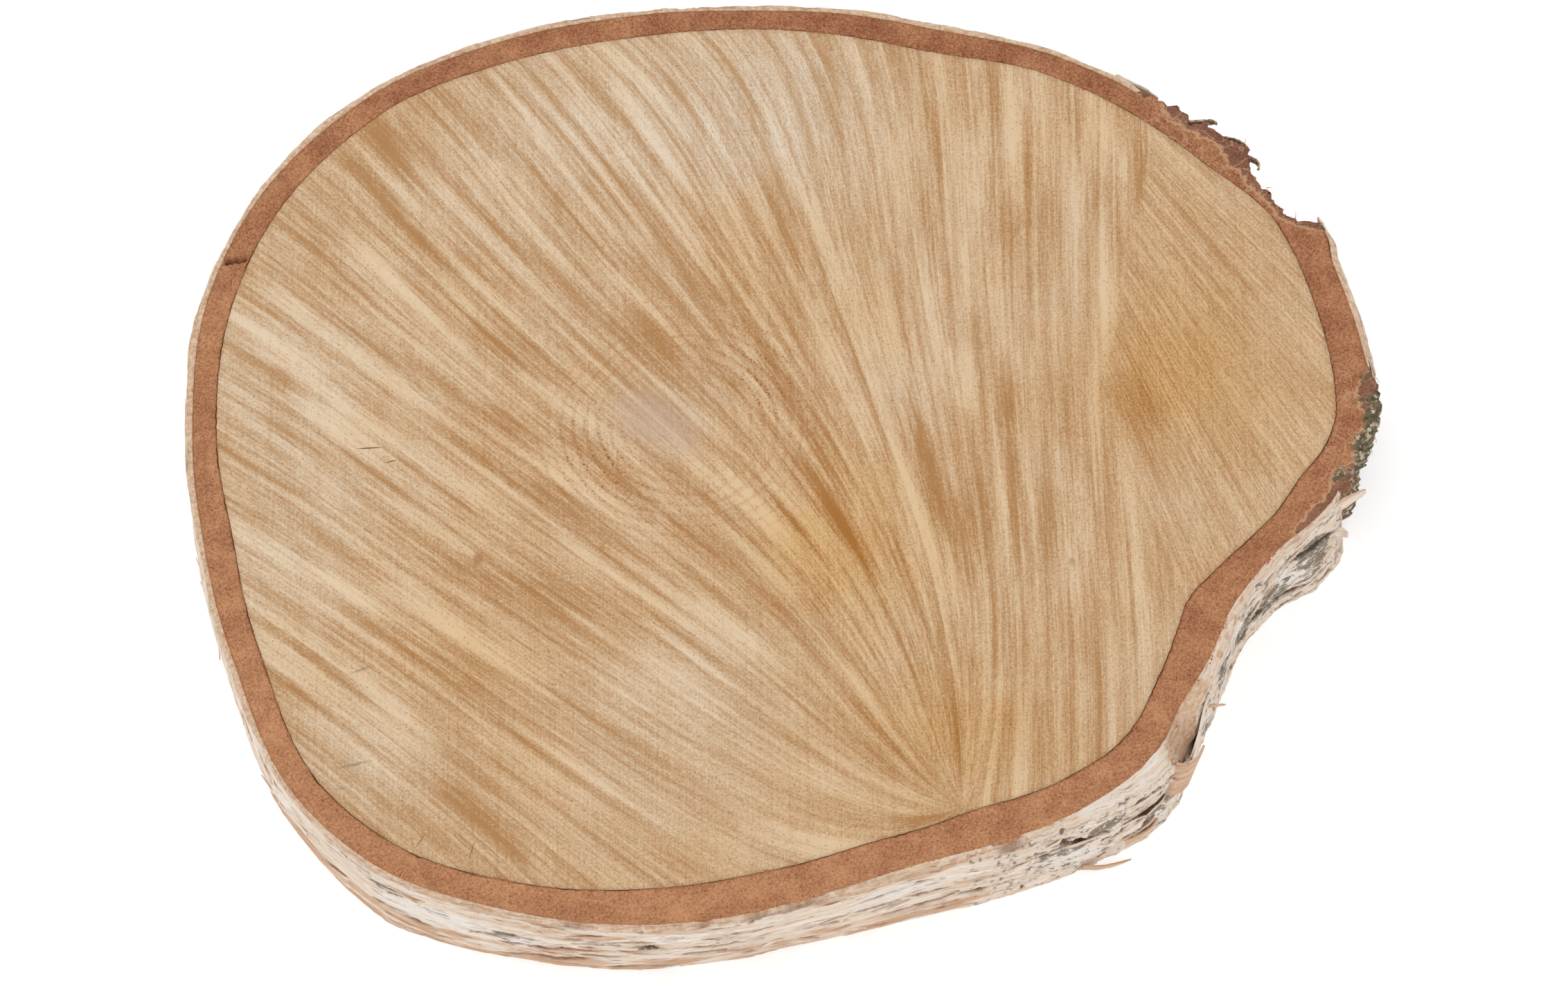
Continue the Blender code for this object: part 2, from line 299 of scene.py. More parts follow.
colour = add(tree, "ShaderNodeMix", {0: dark_share, 6: pale, 7: dark}, output=2, data_type="RGBA")

# Growth rings round the heart. They show as faint brown lines, and as freckles of pith flecks along them.
RING_SPACING = 2.5
from_heart = add(tree, "ShaderNodeVectorMath", {0: place, 1: (HEART[0], HEART[1], 0)}, operation="SUBTRACT")
from_heart = add(tree, "ShaderNodeVectorMath", {0: from_heart, 1: (0.92, 1.0, 0.0)}, operation="MULTIPLY")
ring_radius = add(tree, "ShaderNodeVectorMath", {0: from_heart}, output=1, operation="LENGTH")
wander = add(tree, "ShaderNodeTexNoise", {"Vector": place, "Scale": 0.035, "Detail": 1.5, "Roughness": 0.5})
wander = add(tree, "ShaderNodeMapRange", {0: wander, 3: -3.0, 4: 3.0})
ring_radius = add(tree, "ShaderNodeMath", {0: ring_radius, 1: wander}, operation="ADD")
ring_turn = add(tree, "ShaderNodeMath", {0: ring_radius, 1: 2 * math.pi / RING_SPACING}, operation="MULTIPLY")
ring_wave = add(tree, "ShaderNodeMath", {0: ring_turn}, operation="SINE")
ring = add(tree, "ShaderNodeMapRange", {0: ring_wave, 1: 0.1, 2: 1.0}, interpolation_type="SMOOTHSTEP")
ring = add(tree, "ShaderNodeMath", {0: ring, 1: ring_share}, operation="MULTIPLY")
ring_shade = add(tree, "ShaderNodeMath", {0: ring, 1: 0.36}, operation="MULTIPLY")
colour = add(
    tree, "ShaderNodeMix", {0: ring_shade, 6: colour, 7: linear("#AE7440")}, output=2, data_type="RGBA"
)
flecks = add(tree, "ShaderNodeTexNoise", {"Vector": place, "Scale": 2.1, "Detail": 1.0, "Roughness": 0.6})
flecks = add(tree, "ShaderNodeMapRange", {0: flecks, 1: 0.57, 2: 0.62, 3: 0.0, 4: 0.95})
flecks = add(tree, "ShaderNodeMath", {0: flecks, 1: ring}, operation="MULTIPLY")
colour = add(tree, "ShaderNodeMix", {0: flecks, 6: colour, 7: linear("#935329")}, output=2, data_type="RGBA")

# Sap vessels: small brown dots, here and there.
vessels = add(tree, "ShaderNodeTexVoronoi", {"Vector": place, "Scale": 0.3}, voronoi_dimensions="2D")
vessels = add(tree, "ShaderNodeMapRange", {0: vessels, 1: 0.07, 2: 0.03, 3: 0.0, 4: 0.45})
colour = add(tree, "ShaderNodeMix", {0: vessels, 6: colour, 7: linear("#8A5A30")}, output=2, data_type="RGBA")

# Stains and short drying cracks: x, y, bearing, length, width, colour, strength, softness of the edge.
FACE_MARKS = (
    (-26.5, 7.4, 145, 32, 21, "#C6AD9B", 0.55, 0.95),
    (-63.2, -25.1, 80, 5.0, 3.0, "#AD7548", 0.75, 0.7),
    (-86.3, 0.7, 3, 6.4, 0.45, "#6B4A2E", 0.9, 0.5),
    (-81.7, -2.4, 14, 3.0, 0.4, "#6B4A2E", 0.8, 0.5),
    (-86.5, -50.0, 22, 7.5, 0.9, "#7E7466", 0.6, 0.9),
    (-87.5, -71.3, 14, 11.0, 1.0, "#7E7466", 0.6, 0.9),
    (-90.0, -76.6, 5, 3.6, 0.8, "#7E7466", 0.5, 0.9),
    (-73.5, -88.2, 56, 4.4, 0.3, "#7A5A38", 0.8, 0.5),
    (-63.0, -90.2, 74, 5.2, 0.3, "#7A5A38", 0.8, 0.5),
    (59.9, -25.6, 120, 3.2, 2.2, "#7F6A48", 0.45, 0.9),
)
torn = add(tree, "ShaderNodeTexNoise", {"Vector": place, "Scale": 1.4, "Detail": 3.0}, output=1)
torn = add(tree, "ShaderNodeVectorMath", {0: torn, 1: (0.5, 0.5, 0.5)}, operation="SUBTRACT")
for x, y, bearing, length, width, code, strength, softness in FACE_MARKS:
    raggedness = min(0.35 * width, 1.0)
    torn_edge = {0: torn, 1: (raggedness,) * 3, 2: place}
    spot = add(tree, "ShaderNodeVectorMath", torn_edge, operation="MULTIPLY_ADD")
    turned, half_size = (0, 0, math.radians(bearing)), (length / 2, width / 2, THICKNESS / 2)
    spot = add(
        tree,
        "ShaderNodeMapping",
        {0: spot, 1: (x, y, THICKNESS), 2: turned, 3: half_size},
        vector_type="TEXTURE",
    )
    spot = add(tree, "ShaderNodeVectorMath", {0: spot}, output=1, operation="LENGTH")
    spot = add(
        tree,
        "ShaderNodeMapRange",
        {0: spot, 1: 1.0, 2: 1 - softness, 3: 0.0, 4: strength},
        interpolation_type="SMOOTHSTEP",
    )
    colour = add(tree, "ShaderNodeMix", {0: spot, 6: colour, 7: linear(code)}, output=2, data_type="RGBA")
relief = add(tree, "ShaderNodeMath", {0: striped, 1: felt}, operation="ADD")
bump = add(tree, "ShaderNodeBump", {"Strength": 0.35, "Distance": 0.00012, "Height": relief})
tree.links.new(colour, shader.inputs["Base Color"])
tree.links.new(bump, shader.inputs["Normal"])
shader.inputs["Roughness"].default_value = 0.72
shader.inputs["IOR"].default_value = 1.48
shader.inputs["Specular IOR Level"].default_value = 0.3

FACE_STEP = 1.02
rim = []
for b, r in zip(bearings, wood_reach):
    ragged = 0.14 * noise.noise(outward(b) * r / 0.9)
    rim.append((MIDDLE + outward(b) * (r + ragged)).xy)
random.seed(4)
grid = []
for row in range(int(230 / FACE_STEP)):
    for column in range(int(250 / FACE_STEP)):
        x = -125 + (column + 0.5 * (row % 2) + random.uniform(-0.15, 0.15)) * FACE_STEP
        y = -112 + (row * 0.94 + random.uniform(-0.15, 0.15)) * FACE_STEP
        grid.append((x, y))
grid = np.array(grid)
east, north = grid[:, 0] - MIDDLE.x, grid[:, 1] - MIDDLE.y
inside = np.hypot(east, north) < between_columns(wood_reach, np.degrees(np.arctan2(north, east))) - 0.8
flat = rim + [Vector(spot) for spot in grid[inside]]
flat, _, triangles, came_from, _, _ = delaunay_2d_cdt(flat, [], [list(range(COLUMNS))], 1, 1e-5)
flat = np.array([tuple(spot) for spot in flat])
rim_order = {source: i for i, sources in enumerate(came_from) for source in sources}

weights = fit_saw_marks()
across_first = saw_curves(flat[:, 0], flat[:, 1])[0] @ weights
along_first = np.hypot(flat[:, 0] - SAW_ENTRY[0], flat[:, 1] - SAW_ENTRY[1])
swing = np.arctan2(flat[:, 0] - SECOND_ENTRY[0], SECOND_ENTRY[1] - flat[:, 1])
along_second = np.hypot(flat[:, 0] - SECOND_ENTRY[0], flat[:, 1] - SECOND_ENTRY[1])
past_seam = flat[:, 0] - np.interp(flat[:, 1], SEAM_Y, SEAM_X)
past_seam = past_seam / np.interp(flat[:, 1], SEAM_Y, SEAM_BLUR)
golden = np.zeros(len(flat))
for x, y, radius, strength in SAP_PATCHES:
    golden += strength * np.exp(-((flat[:, 0] - x) ** 2 + (flat[:, 1] - y) ** 2) / radius**2)

east, north = flat[:, 0] - HEART[0], flat[:, 1] - HEART[1]
ring_share = 0.3 + 0.7 * np.clip(np.cos(2 * (np.arctan2(north, east) - math.radians(35))), 0, 1)
ring_share = ring_share * np.exp(-(((np.hypot(0.92 * east, north) - 19) / 8) ** 2)) + 0.07

# The marks are fainter in places: x, y, radius, how much of their strength is lost.
CALM_PATCHES = (
    (-5, -90, 38, 0.45), (58, 25, 32, 0.35), (60, -60, 22, 0.3), (-80, -85, 22, 0.2), (20, 95, 25, 0.2),
)
liveliness = np.ones(len(flat))
for x, y, radius, lost in CALM_PATCHES:
    liveliness -= lost * np.exp(-((flat[:, 0] - x) ** 2 + (flat[:, 1] - y) ** 2) / radius**2)

_, slopes_x, slopes_y = saw_curves(flat[:, 0], flat[:, 1])
crowding = np.hypot(slopes_x @ weights, slopes_y @ weights)
BROAD_MARK = 3.6  # millimetres across
spread_first = -np.log2(np.maximum(crowding, 0.02) * BROAD_MARK)
spread_second = -np.log2(100 / along_second * BROAD_MARK)
BOLD_MARKS = 88  # single marks that are paler or darker than the rest, placed anywhere on the face
random.seed(9)
bold_mark = np.zeros(len(flat))
for _ in range(BOLD_MARKS):
    x, y = random.uniform(-108, 92), random.uniform(-92, 96)
    length, half_width = random.uniform(18, 48), random.uniform(1.5, 2.6)
    strength = random.choice((-1, 1)) * random.uniform(0.2, 0.5)
    nearest = np.hypot(flat[:, 0] - x, flat[:, 1] - y).argmin()
    if past_seam[nearest] > 0:
        aside = (swing - swing[nearest]) * along_second[nearest]
        ahead, same_cut = along_second - along_second[nearest], past_seam > 0
    else:
        aside = (across_first - across_first[nearest]) / crowding[nearest]
        ahead, same_cut = along_first - along_first[nearest], past_seam < 0.3
    fade = np.clip(1 - (ahead / (length / 2)) ** 2, 0, 1) * same_cut
    bold_mark += strength * fade * np.exp(-((aside / half_width) ** 2))

# The saw leaves long low waves, a tenth of a millimetre high, on the face.
top = []
for (x, y), a, b in zip(flat, across_first, along_first):
    wave = noise.noise((a / 1.9, b / 55, 0))
    top.append((x, y, THICKNESS - 0.1 + 0.12 * wave))
count = len(flat)
under = [(x, y, 0.0) for x, y in flat]
faces = [tuple(t) for t in triangles]
faces += [tuple(count + i for i in reversed(t)) for t in triangles]
for i in range(COLUMNS):
    a, b = rim_order[i], rim_order[(i + 1) % COLUMNS]
    faces.append((a, count + a, count + b, b))
wood = piece("sawn_wood", top + under, faces, rough_sawn_birch)
UNDER_SHIFT = 40  # the lower face is another cut, so its marks are others
store(
    wood,
    across_first=np.concatenate([across_first, across_first + UNDER_SHIFT]),
    along_first=np.tile(along_first, 2),
    across_second=np.concatenate([100 * swing, 100 * swing + UNDER_SHIFT]),
    along_second=np.tile(along_second, 2),
    past_seam=np.concatenate([past_seam, np.full(count, -5.0)]),
    golden=np.tile(golden, 2),
    bold_mark=np.concatenate([bold_mark, np.zeros(count)]),
    ring_share=np.tile(ring_share, 2),
    spread_first=np.tile(spread_first, 2),
    liveliness=np.tile(liveliness, 2),
    spread_second=np.tile(spread_second, 2),
)
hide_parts("wood")

# The inner bark.
# A ring of crumbly brown cork cells that grew on the wood. The saw has left it granular, it has split on the
# left, and on the right it swells into bare corky plates and a mossy lump.

bark_solid = solid("inner_bark")
WALL_ROWS = 38
RING_ROWS = 12
FOOT_ROWS = 5
BARK_TOP, BARK_FOOT = 19.8, 0.2
SPLIT_BEARINGS = (155.0, 158.6)  # the solid's own split, wider than the one that shows
SPLIT_OUTSIDE, SPLIT_INSIDE = (156.8, 129.6), (155.6, 124.8)
SPLIT_HALF_WIDTH = 0.5
CORK_PLATES, MOSSY_LUMP, MOSS_BED = (27.5, 50.5), (0, 11.5), (3.5, 7)
BARE_LUMP = (-1.7, 11.5)  # the part of the lump that no paper covers


def share_of(bearing, first, last, fade):
    """1 between two bearings, falling to 0 over the fade outside them."""
    turned = (bearing - (first + last) / 2 + 180) % 360 - 180
    return min(max(((last - first) / 2 + fade - abs(turned)) / fade, 0.0), 1.0)


def bark_reach(bearing, height):
    if SPLIT_BEARINGS[0] < bearing < SPLIT_BEARINGS[1]:
        t = (bearing - SPLIT_BEARINGS[0]) / (SPLIT_BEARINGS[1] - SPLIT_BEARINGS[0])
        ends = [reach(bark_solid, b, height) for b in SPLIT_BEARINGS]
        return ends[0] * (1 - t) + ends[1] * t
    return reach(bark_solid, bearing, height)


wall_heights = [BARK_FOOT + (BARK_TOP - BARK_FOOT) * i / (WALL_ROWS - 1) for i in range(WALL_ROWS)]
wall = np.array([[bark_reach(b, min(z, 19.7)) for z in wall_heights] for b in bearings])
split_from = MIDDLE + outward(SPLIT_OUTSIDE[0]) * SPLIT_OUTSIDE[1]
split_to = MIDDLE + outward(SPLIT_INSIDE[0]) * SPLIT_INSIDE[1]
split_way = (split_to - split_from).normalized()

# How old the outermost cork is: it starts at these radii, where a pale line of cork cambium bounds it.
OLD_CORK = (
    (-8, 112), (-6.6, 106.4), (-5.3, 108.2), (-3.9, 109.8), (-2.6, 112.1), (-1.2, 113.9), (1.0, 114.9),
    (1.8, 118.5), (3, 124), (5.5, 127), (6.5, 123.5), (7.8, 122.0), (9.9, 121.9), (11.3, 124.4),
    (12.5, 130), (26.5, 131), (27.4, 127.5), (28.3, 125.8), (29.2, 123.8), (30.6, 122.4), (32.1, 122.2),
    (33.7, 121.8), (35.4, 121.2), (36.8, 121.9), (38.1, 121.0), (39.4, 121.9), (40.8, 122.4),
    (42.0, 121.5), (43.3, 120.5), (44.8, 119.6), (45.9, 119.1), (47.5, 120.6), (49, 123),
)
NO_OLD_CORK = 140  # a radius outside the bark, for the bearings beyond the line

# How far the paper's sawn edge reaches in over the ring: bearing, millimetres. At the pocket the tube has
# torn the paper and the cork out to a few millimetres down.
PAPER_EDGE = (
    (-180, -0.2), (-155, 0.0), (-125, 0.4), (-70, 0.9), (-56, 1.4), (-51, 2.1), (-45, 2.9), (-40, 3.5),
    (-36, 3.6), (-33, 3.4), (-29, 2.2), (-25.6, 1.5), (-20, 1.1), (-13, 1.2), (-8, 1.6), (-5, 0.8),
    (-2, 0.3), (25, -0.1), (180, -0.2),
)
POCKET_BEARINGS, POCKET_DEPTH = (-37.0, -34.6), 5.5


def edge_depth(bearing):
    return float(np.interp((bearing + 180) % 360 - 180, *zip(*PAPER_EDGE)))


def pocket(bearing):
    return POCKET_DEPTH * share_of(bearing, *POCKET_BEARINGS, 2.4)


points, depth, old, corky, mossy, warm = [], [], [], [], [], []
for i, b in enumerate(bearings):
    turned = (b + 180) % 360 - 180
    cork = max(share_of(b, *CORK_PLATES, 1.5), share_of(b, *MOSSY_LUMP, 1.5))
    moss = share_of(b, *MOSS_BED, 5)
    inner = wood_reach[i] + 0.16
    papered = 1 - max(share_of(b, *CORK_PLATES, 0.3), share_of(b, *BARE_LUMP, 0.3))
    drop = min(max(0.35 + 0.7 * edge_depth(b), 0.2), 0.7) * papered + pocket(b)
    shelf = 0.7 * papered
    section = []
    for k, full_height in enumerate(wall_heights):
        z = BARK_FOOT + (full_height - BARK_FOOT) * (BARK_TOP - BARK_FOOT - drop) / (BARK_TOP - BARK_FOOT)
        spot = MIDDLE + outward(b) * wall[i][k] + Vector((0, 0, z))
        upright = Vector((spot.x, spot.y, spot.z * 0.6))
        rough = 0.16 * noise.noise(spot / 1.6)
        rough += 1.1 * moss * noise.noise(spot / 1.25) + 0.8 * moss * noise.noise(spot / 3)
        rough += cork * (0.7 * noise.noise(spot / 1.3) + 0.8 * noise.noise(upright / 3.2))
        furrow = max(0.12 - abs(noise.noise(spot / 4.5)), 0) / 0.12
        rough += cork * (0.35 * noise.noise(spot / 0.55) - 0.9 * furrow)
        section.append((wall[i][k] + rough, z, 1.0))
    outer = section[-1][0]
    for k in range(1, RING_ROWS):
        t = k / RING_ROWS
        r = outer + (inner - outer) * t
        spot = MIDDLE + outward(b) * r
        rough = 0.20 * noise.noise(spot / 0.8) + 0.14 * noise.noise(spot / 2.6) - 0.12
        rough -= 0.5 * cork * max(noise.noise(spot / 1.9 + Vector((0, 0, 7))) + 0.1, 0) * (1 - t)
        under_paper = outer - r < edge_depth(b) - 0.8
        section.append((r, BARK_TOP + rough - (shelf + pocket(b) * (1 - t) if under_paper else 0), 1 - t))
    crumb = 0.3 * noise.noise(outward(b) * inner / 0.9) + 0.3 * noise.noise(outward(b) * inner / 6)
    section.append((inner + crumb, BARK_TOP - 0.14, 0.05))
    section.append((inner + crumb, BARK_TOP - 0.25, 0.0))
    section.append((wood_reach[i] - 0.1, BARK_TOP - 0.3, 0.0))
    section.append((wood_reach[i] - 0.1, BARK_FOOT + 1.3, 0.0))
    section.append((inner, BARK_FOOT, 0.0))
    for k in range(1, FOOT_ROWS):
        section.append((inner + (section[0][0] - inner) * k / FOOT_ROWS, BARK_FOOT, k / FOOT_ROWS))
    for r, z, share in section:
        spot = MIDDLE + outward(b) * r + Vector((0, 0, z))
        off = (spot - split_from).xy
        aside = abs(off.x * split_way.y - off.y * split_way.x)
        ahead = off.dot(split_way.xy)
        if -3 < ahead < 5.6 and aside < SPLIT_HALF_WIDTH * (1.15 - ahead / 9) and z > 12:
            spot.z = min(spot.z, 13.5 + 3 * noise.noise(spot))
        points.append(tuple(spot))
        depth.append(share)
        old.append(r - np.interp(turned, *zip(*OLD_CORK), left=NO_OLD_CORK, right=NO_OLD_CORK))
        corky.append(cork)
        tuft = (r - outer + 3.4) / 0.9 + 2.6 * noise.noise(spot / 2.2) + 1.2 * noise.noise(spot / 0.7)
        bed = min(4 * moss, 1) * min(max(3 * moss + 3.2 * noise.noise(spot / 3.4) - 0.9, 0), 1)
        mossy.append(min(max(tuft, 0), 1) * bed)
        # The ring is painted lighter towards bearing 245, at the front left, and darker towards the back
        # right.
        warm.append(math.cos(math.radians(b - 245)))


def faces_round(columns, rows, closed):
    """Faces between neighbouring columns, each a closed line of that many points. A ring closes on itself."""
    faces = []
    for i in range(columns):
        a = i * rows
        b = 0 if closed and i == columns - 1 else a + rows
        faces += [(a + j, b + j, b + (j + 1) % rows, a + (j + 1) % rows) for j in range(rows)]
    return faces


faces = faces_round(COLUMNS, len(points) // COLUMNS, True)

# Birch inner bark: dry, crumbly cork and stone cells torn by the saw, with no shine. The eye gets red-brown
# grains, light and dark, about half a millimetre across.
sawn_inner_bark, tree, shader = start_look("sawn_inner_bark")
depth_in, old_cork, corkiness, moss, warmth = (
    add(tree, "ShaderNodeAttribute", output=2, attribute_name=name)
    for name in ("depth", "old_cork", "corky", "mossy", "warm")
)
place = add(tree, "ShaderNodeTexCoord", output=3)
place = add(tree, "ShaderNodeVectorMath", {0: place, 1: (1000, 1000, 1000)}, operation="MULTIPLY")
grains = add(tree, "ShaderNodeTexNoise", {"Vector": place, "Scale": 2.1, "Detail": 5.0, "Roughness": 0.8})
drift = add(tree, "ShaderNodeTexNoise", {"Vector": place, "Scale": 0.16, "Detail": 4.0})
drift = add(tree, "ShaderNodeMapRange", {0: drift, 1: 0.3, 2: 0.7, 3: -0.2, 4: 0.2})
bright = add(tree, "ShaderNodeMapRange", {0: grains, 1: 0.32, 2: 0.66})
bright = add(tree, "ShaderNodeMath", {0: bright, 1: drift}, operation="ADD")
# Lighter towards the front left, darker towards the back right.
bright = add(
    tree, "ShaderNodeMath", {0: warmth, 1: 0.14, 2: bright}, operation="MULTIPLY_ADD", use_clamp=True
)
colour = add(
    tree, "ShaderNodeMix", {0: bright, 6: linear("#884B32"), 7: linear("#D59C70")}, output=2, data_type="RGBA"
)
pits = add(tree, "ShaderNodeTexVoronoi", {"Vector": place, "Scale": 0.9})
pits = add(tree, "ShaderNodeMapRange", {0: pits, 1: 0.26, 2: 0.1, 3: 0.0, 4: 0.45})
colour = add(tree, "ShaderNodeMix", {0: pits, 6: colour, 7: linear("#70432E")}, output=2, data_type="RGBA")
ragged = add(tree, "ShaderNodeTexNoise", {"Vector": place, "Scale": 0.6, "Detail": 5.0, "Roughness": 0.7})
ragged = add(tree, "ShaderNodeMapRange", {0: ragged, 3: -2.2, 4: 2.2})
old_cork = add(tree, "ShaderNodeMath", {0: old_cork, 1: ragged}, operation="ADD")
old_share = add(tree, "ShaderNodeMapRange", {0: old_cork, 1: -0.2, 2: 0.3, 3: 0.0, 4: 0.8})
plates = add(
    tree, "ShaderNodeMix", {0: bright, 6: linear("#683F35"), 7: linear("#A67A63")}, output=2, data_type="RGBA"
)
colour = add(tree, "ShaderNodeMix", {0: old_share, 6: colour, 7: plates}, output=2, data_type="RGBA")
line = add(tree, "ShaderNodeMath", {0: old_cork}, operation="ABSOLUTE")
line = add(tree, "ShaderNodeMapRange", {0: line, 1: 0.55, 2: 0.2, 3: 0.0, 4: 0.8})
colour = add(tree, "ShaderNodeMix", {0: line, 6: colour, 7: linear("#D0A37C")}, output=2, data_type="RGBA")

# In the bare plates old cambium lines wander as pale threads.
threads = add(tree, "ShaderNodeTexNoise", {"Vector": place, "Scale": 0.21, "Detail": 2.0, "Distortion": 0.6})
threads = add(tree, "ShaderNodeMath", {0: threads, 1: 0.5}, operation="SUBTRACT")
threads = add(tree, "ShaderNodeMath", {0: threads}, operation="ABSOLUTE")
threads = add(tree, "ShaderNodeMapRange", {0: threads, 1: 0.02, 2: 0.006, 3: 0.0, 4: 0.6})
threads = add(tree, "ShaderNodeMath", {0: threads, 1: corkiness}, operation="MULTIPLY")
colour = add(tree, "ShaderNodeMix", {0: threads, 6: colour, 7: linear("#CFA37F")}, output=2, data_type="RGBA")
fuzz = add(tree, "ShaderNodeTexNoise", {"Vector": place, "Scale": 1.3, "Detail": 5.0, "Roughness": 0.85})
fuzz = add(tree, "ShaderNodeMapRange", {0: fuzz, 1: 0.38, 2: 0.60})
lichen = add(
    tree, "ShaderNodeMix", {0: fuzz, 6: linear("#3C3325"), 7: linear("#85795C")}, output=2, data_type="RGBA"
)
flakes = add(tree, "ShaderNodeTexNoise", {"Vector": place, "Scale": 0.75, "Detail": 4.0, "Roughness": 0.7})
flakes = add(tree, "ShaderNodeMapRange", {0: flakes, 1: 0.54, 2: 0.6, 3: 0.0, 4: 0.85})
lichen = add(tree, "ShaderNodeMix", {0: flakes, 6: lichen, 7: linear("#DACFBA")}, output=2, data_type="RGBA")
colour = add(tree, "ShaderNodeMix", {0: moss, 6: colour, 7: lichen}, output=2, data_type="RGBA")
# Painted shade: where the bark's inner edge drops into the gap against the wood, it is painted dark brown.
seam_painted_shade = add(tree, "ShaderNodeMapRange", {0: depth_in, 1: 0.04, 2: 0.0, 3: 0.0, 4: 0.85})
colour = add(tree, "ShaderNodeMix", {0: seam_painted_shade, 6: colour, 7: linear("#7A4C2C")}, output=2, data_type="RGBA")
relief = add(tree, "ShaderNodeMath", {0: grains, 1: pits}, operation="SUBTRACT")
bump = add(tree, "ShaderNodeBump", {"Strength": 0.6, "Distance": 0.0004, "Height": relief})
tree.links.new(colour, shader.inputs["Base Color"])
tree.links.new(bump, shader.inputs["Normal"])
shader.inputs["Roughness"].default_value = 0.9
shader.inputs["Specular IOR Level"].default_value = 0.2

inner_bark = piece("sawn_inner_bark", points, faces, sawn_inner_bark)
store(inner_bark, depth=depth, old_cork=old, corky=corky, mossy=mossy, warm=warm)
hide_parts("inner_bark")

# The papery bark.
# Many sheets of white birch paper, each thinner than card, that peel along their length. Together they wrap
# the trunk a millimetre thick, apart from the corky plates and the lump, and cracks run between them.

WRAPS = (("paper_wrap", "paper_bark", 50.7, 358.3), ("paper_wrap_strip", "paper_bark_strip", 11.7, 27.2))
PAPER_ROWS = 60
EDGE_ROWS = 9
SKIN = 1.15
SUNK = 0.25  # how deep the wrap's back stands in the crumbly face of the inner bark
PAPER_TOP, PAPER_FOOT = 19.75, 0.25

# Cracks between the sheets: from one bearing and height to another, then half their height, and their depth.
CRACKS = (
    (270.0, 10.2, 299.5, 10.0, 0.42, 0.9), (281.9, 5.4, 297.7, 5.5, 0.26, 0.6),
    (262, 14.2, 290.7, 15, 0.2, 0.5), (238, 8, 250.7, 9, 0.34, 0.7), (226.6, 7, 233.9, 5, 0.25, 0.6),
    (239.6, 3, 249.4, 5, 0.24, 0.5), (251, 12.5, 262, 9, 0.3, 0.7), (262, 9, 270.5, 10.2, 0.4, 0.8),
    (303.5, 15.5, 312, 11.5, 0.42, 0.9), (311, 9, 322, 13, 0.5, 0.9), (243, 14.6, 256, 13.2, 0.2, 0.5),
    (205, 12, 222, 9, 0.22, 0.5), (208, 6, 219, 4.5, 0.2, 0.4), (190, 13, 204, 10, 0.2, 0.4),
    (312, 17.5, 321, 16, 0.35, 0.8), (326, 6, 334, 9, 0.3, 0.8), (336, 15, 345, 11, 0.4, 0.9),
    (338, 9, 347, 8, 0.35, 0.9), (342, 16, 351, 17.5, 0.3, 0.8), (344, 7, 352, 4, 0.4, 0.8),
    (350, 16, 357, 13, 0.4, 0.8), (60, 12, 85, 14, 0.3, 0.7), (92, 6, 120, 9, 0.35, 0.8),
    (110, 14, 140, 12, 0.25, 0.6), (146, 7, 170, 5, 0.3, 0.6), (165, 12, 188, 14, 0.25, 0.5),
)
# Weathered grey patches, and clean white ones: bearing, height, half length, half height.
GREY_PATCHES = (
    (228.4, 14, 5, 1.6), (240.4, 12, 4, 1.8), (255, 11, 3, 1.5), (305.7, 12, 7, 2.5), (311, 14, 6, 2.2),
    (318, 9, 6, 3), (328.5, 12, 3.2, 3.4), (335.5, 12, 4, 5), (343, 10, 6, 5), (348, 8, 6, 5),
    (353, 12, 6, 6), (78, 7, 12, 2), (101, 13, 4, 1.5), (134, 4, 9, 1.4), (171, 11, 6, 1.2),
    (149, 14, 3, 1.2),
)
WHITE_PATCHES = (
    (236, 11, 26, 6), (212, 13, 14, 5), (306.3, 8, 9, 5), (316, 5, 8, 4), (330, 7, 4, 6), (340, 14, 6, 5),
    (350, 10, 8, 8), (285, 14, 16, 4), (258, 15, 10, 3), (70, 10, 14, 7), (118, 8, 12, 6),
)
LOWER_RIGHT = (302, 358, 10)  # the rough weathered stretch, and how softly it ends

# Dark bruises on the top edge: bearing and half length.
BRUISES = (
    (247.4, 2.6), (267.3, 2.2), (272.2, 4.5), (261, 1.2), (299, 2.5), (178.5, 1.5), (96, 2), (128, 1.5),
)


wall_rows = [list(row) for row in wall] + [list(wall[0])]
around = [0.0]
for i in range(COLUMNS):
    here = outward(360 * (i + 1) / COLUMNS) * wall_rows[i + 1][WALL_ROWS // 2]
    around.append(around[-1] + (here - outward(bearings[i]) * wall_rows[i][WALL_ROWS // 2]).length)


def wall_reach(bearing, height):
    """Reach of the smooth inner bark under the paper, read from the rows sampled above."""
    row = (height - BARK_FOOT) / (BARK_TOP - BARK_FOOT) * (WALL_ROWS - 1)
    low = min(max(int(row), 0), WALL_ROWS - 2)
    up = min(max(row - low, 0), 1)
    column = bearing % 360 / 360 * COLUMNS
    i = min(int(column), COLUMNS - 1)
    near = wall_rows[i][low] * (1 - up) + wall_rows[i][low + 1] * up
    far = wall_rows[i + 1][low] * (1 - up) + wall_rows[i + 1][low + 1] * up
    return near + (far - near) * (column - i)


def arc(bearing):
    """Millimetres along the wall to that bearing."""
    column = bearing % 360 / 360 * COLUMNS
    i = min(int(column), COLUMNS - 1)
    return around[i] + (around[i + 1] - around[i]) * (column - i)


def sheets(run, z):
    """The overlapping sheets as long terraces with crisp edges: their relief, and which sheet is on top."""
    step = 4.4 * noise.noise((run / 30, z / 2.6, 3)) + 2.2 * noise.noise((run / 9, z / 1.2, 8))
    whole = math.floor(step)
    return (whole + min((step - whole) * 5, 1)) * 0.16, whole


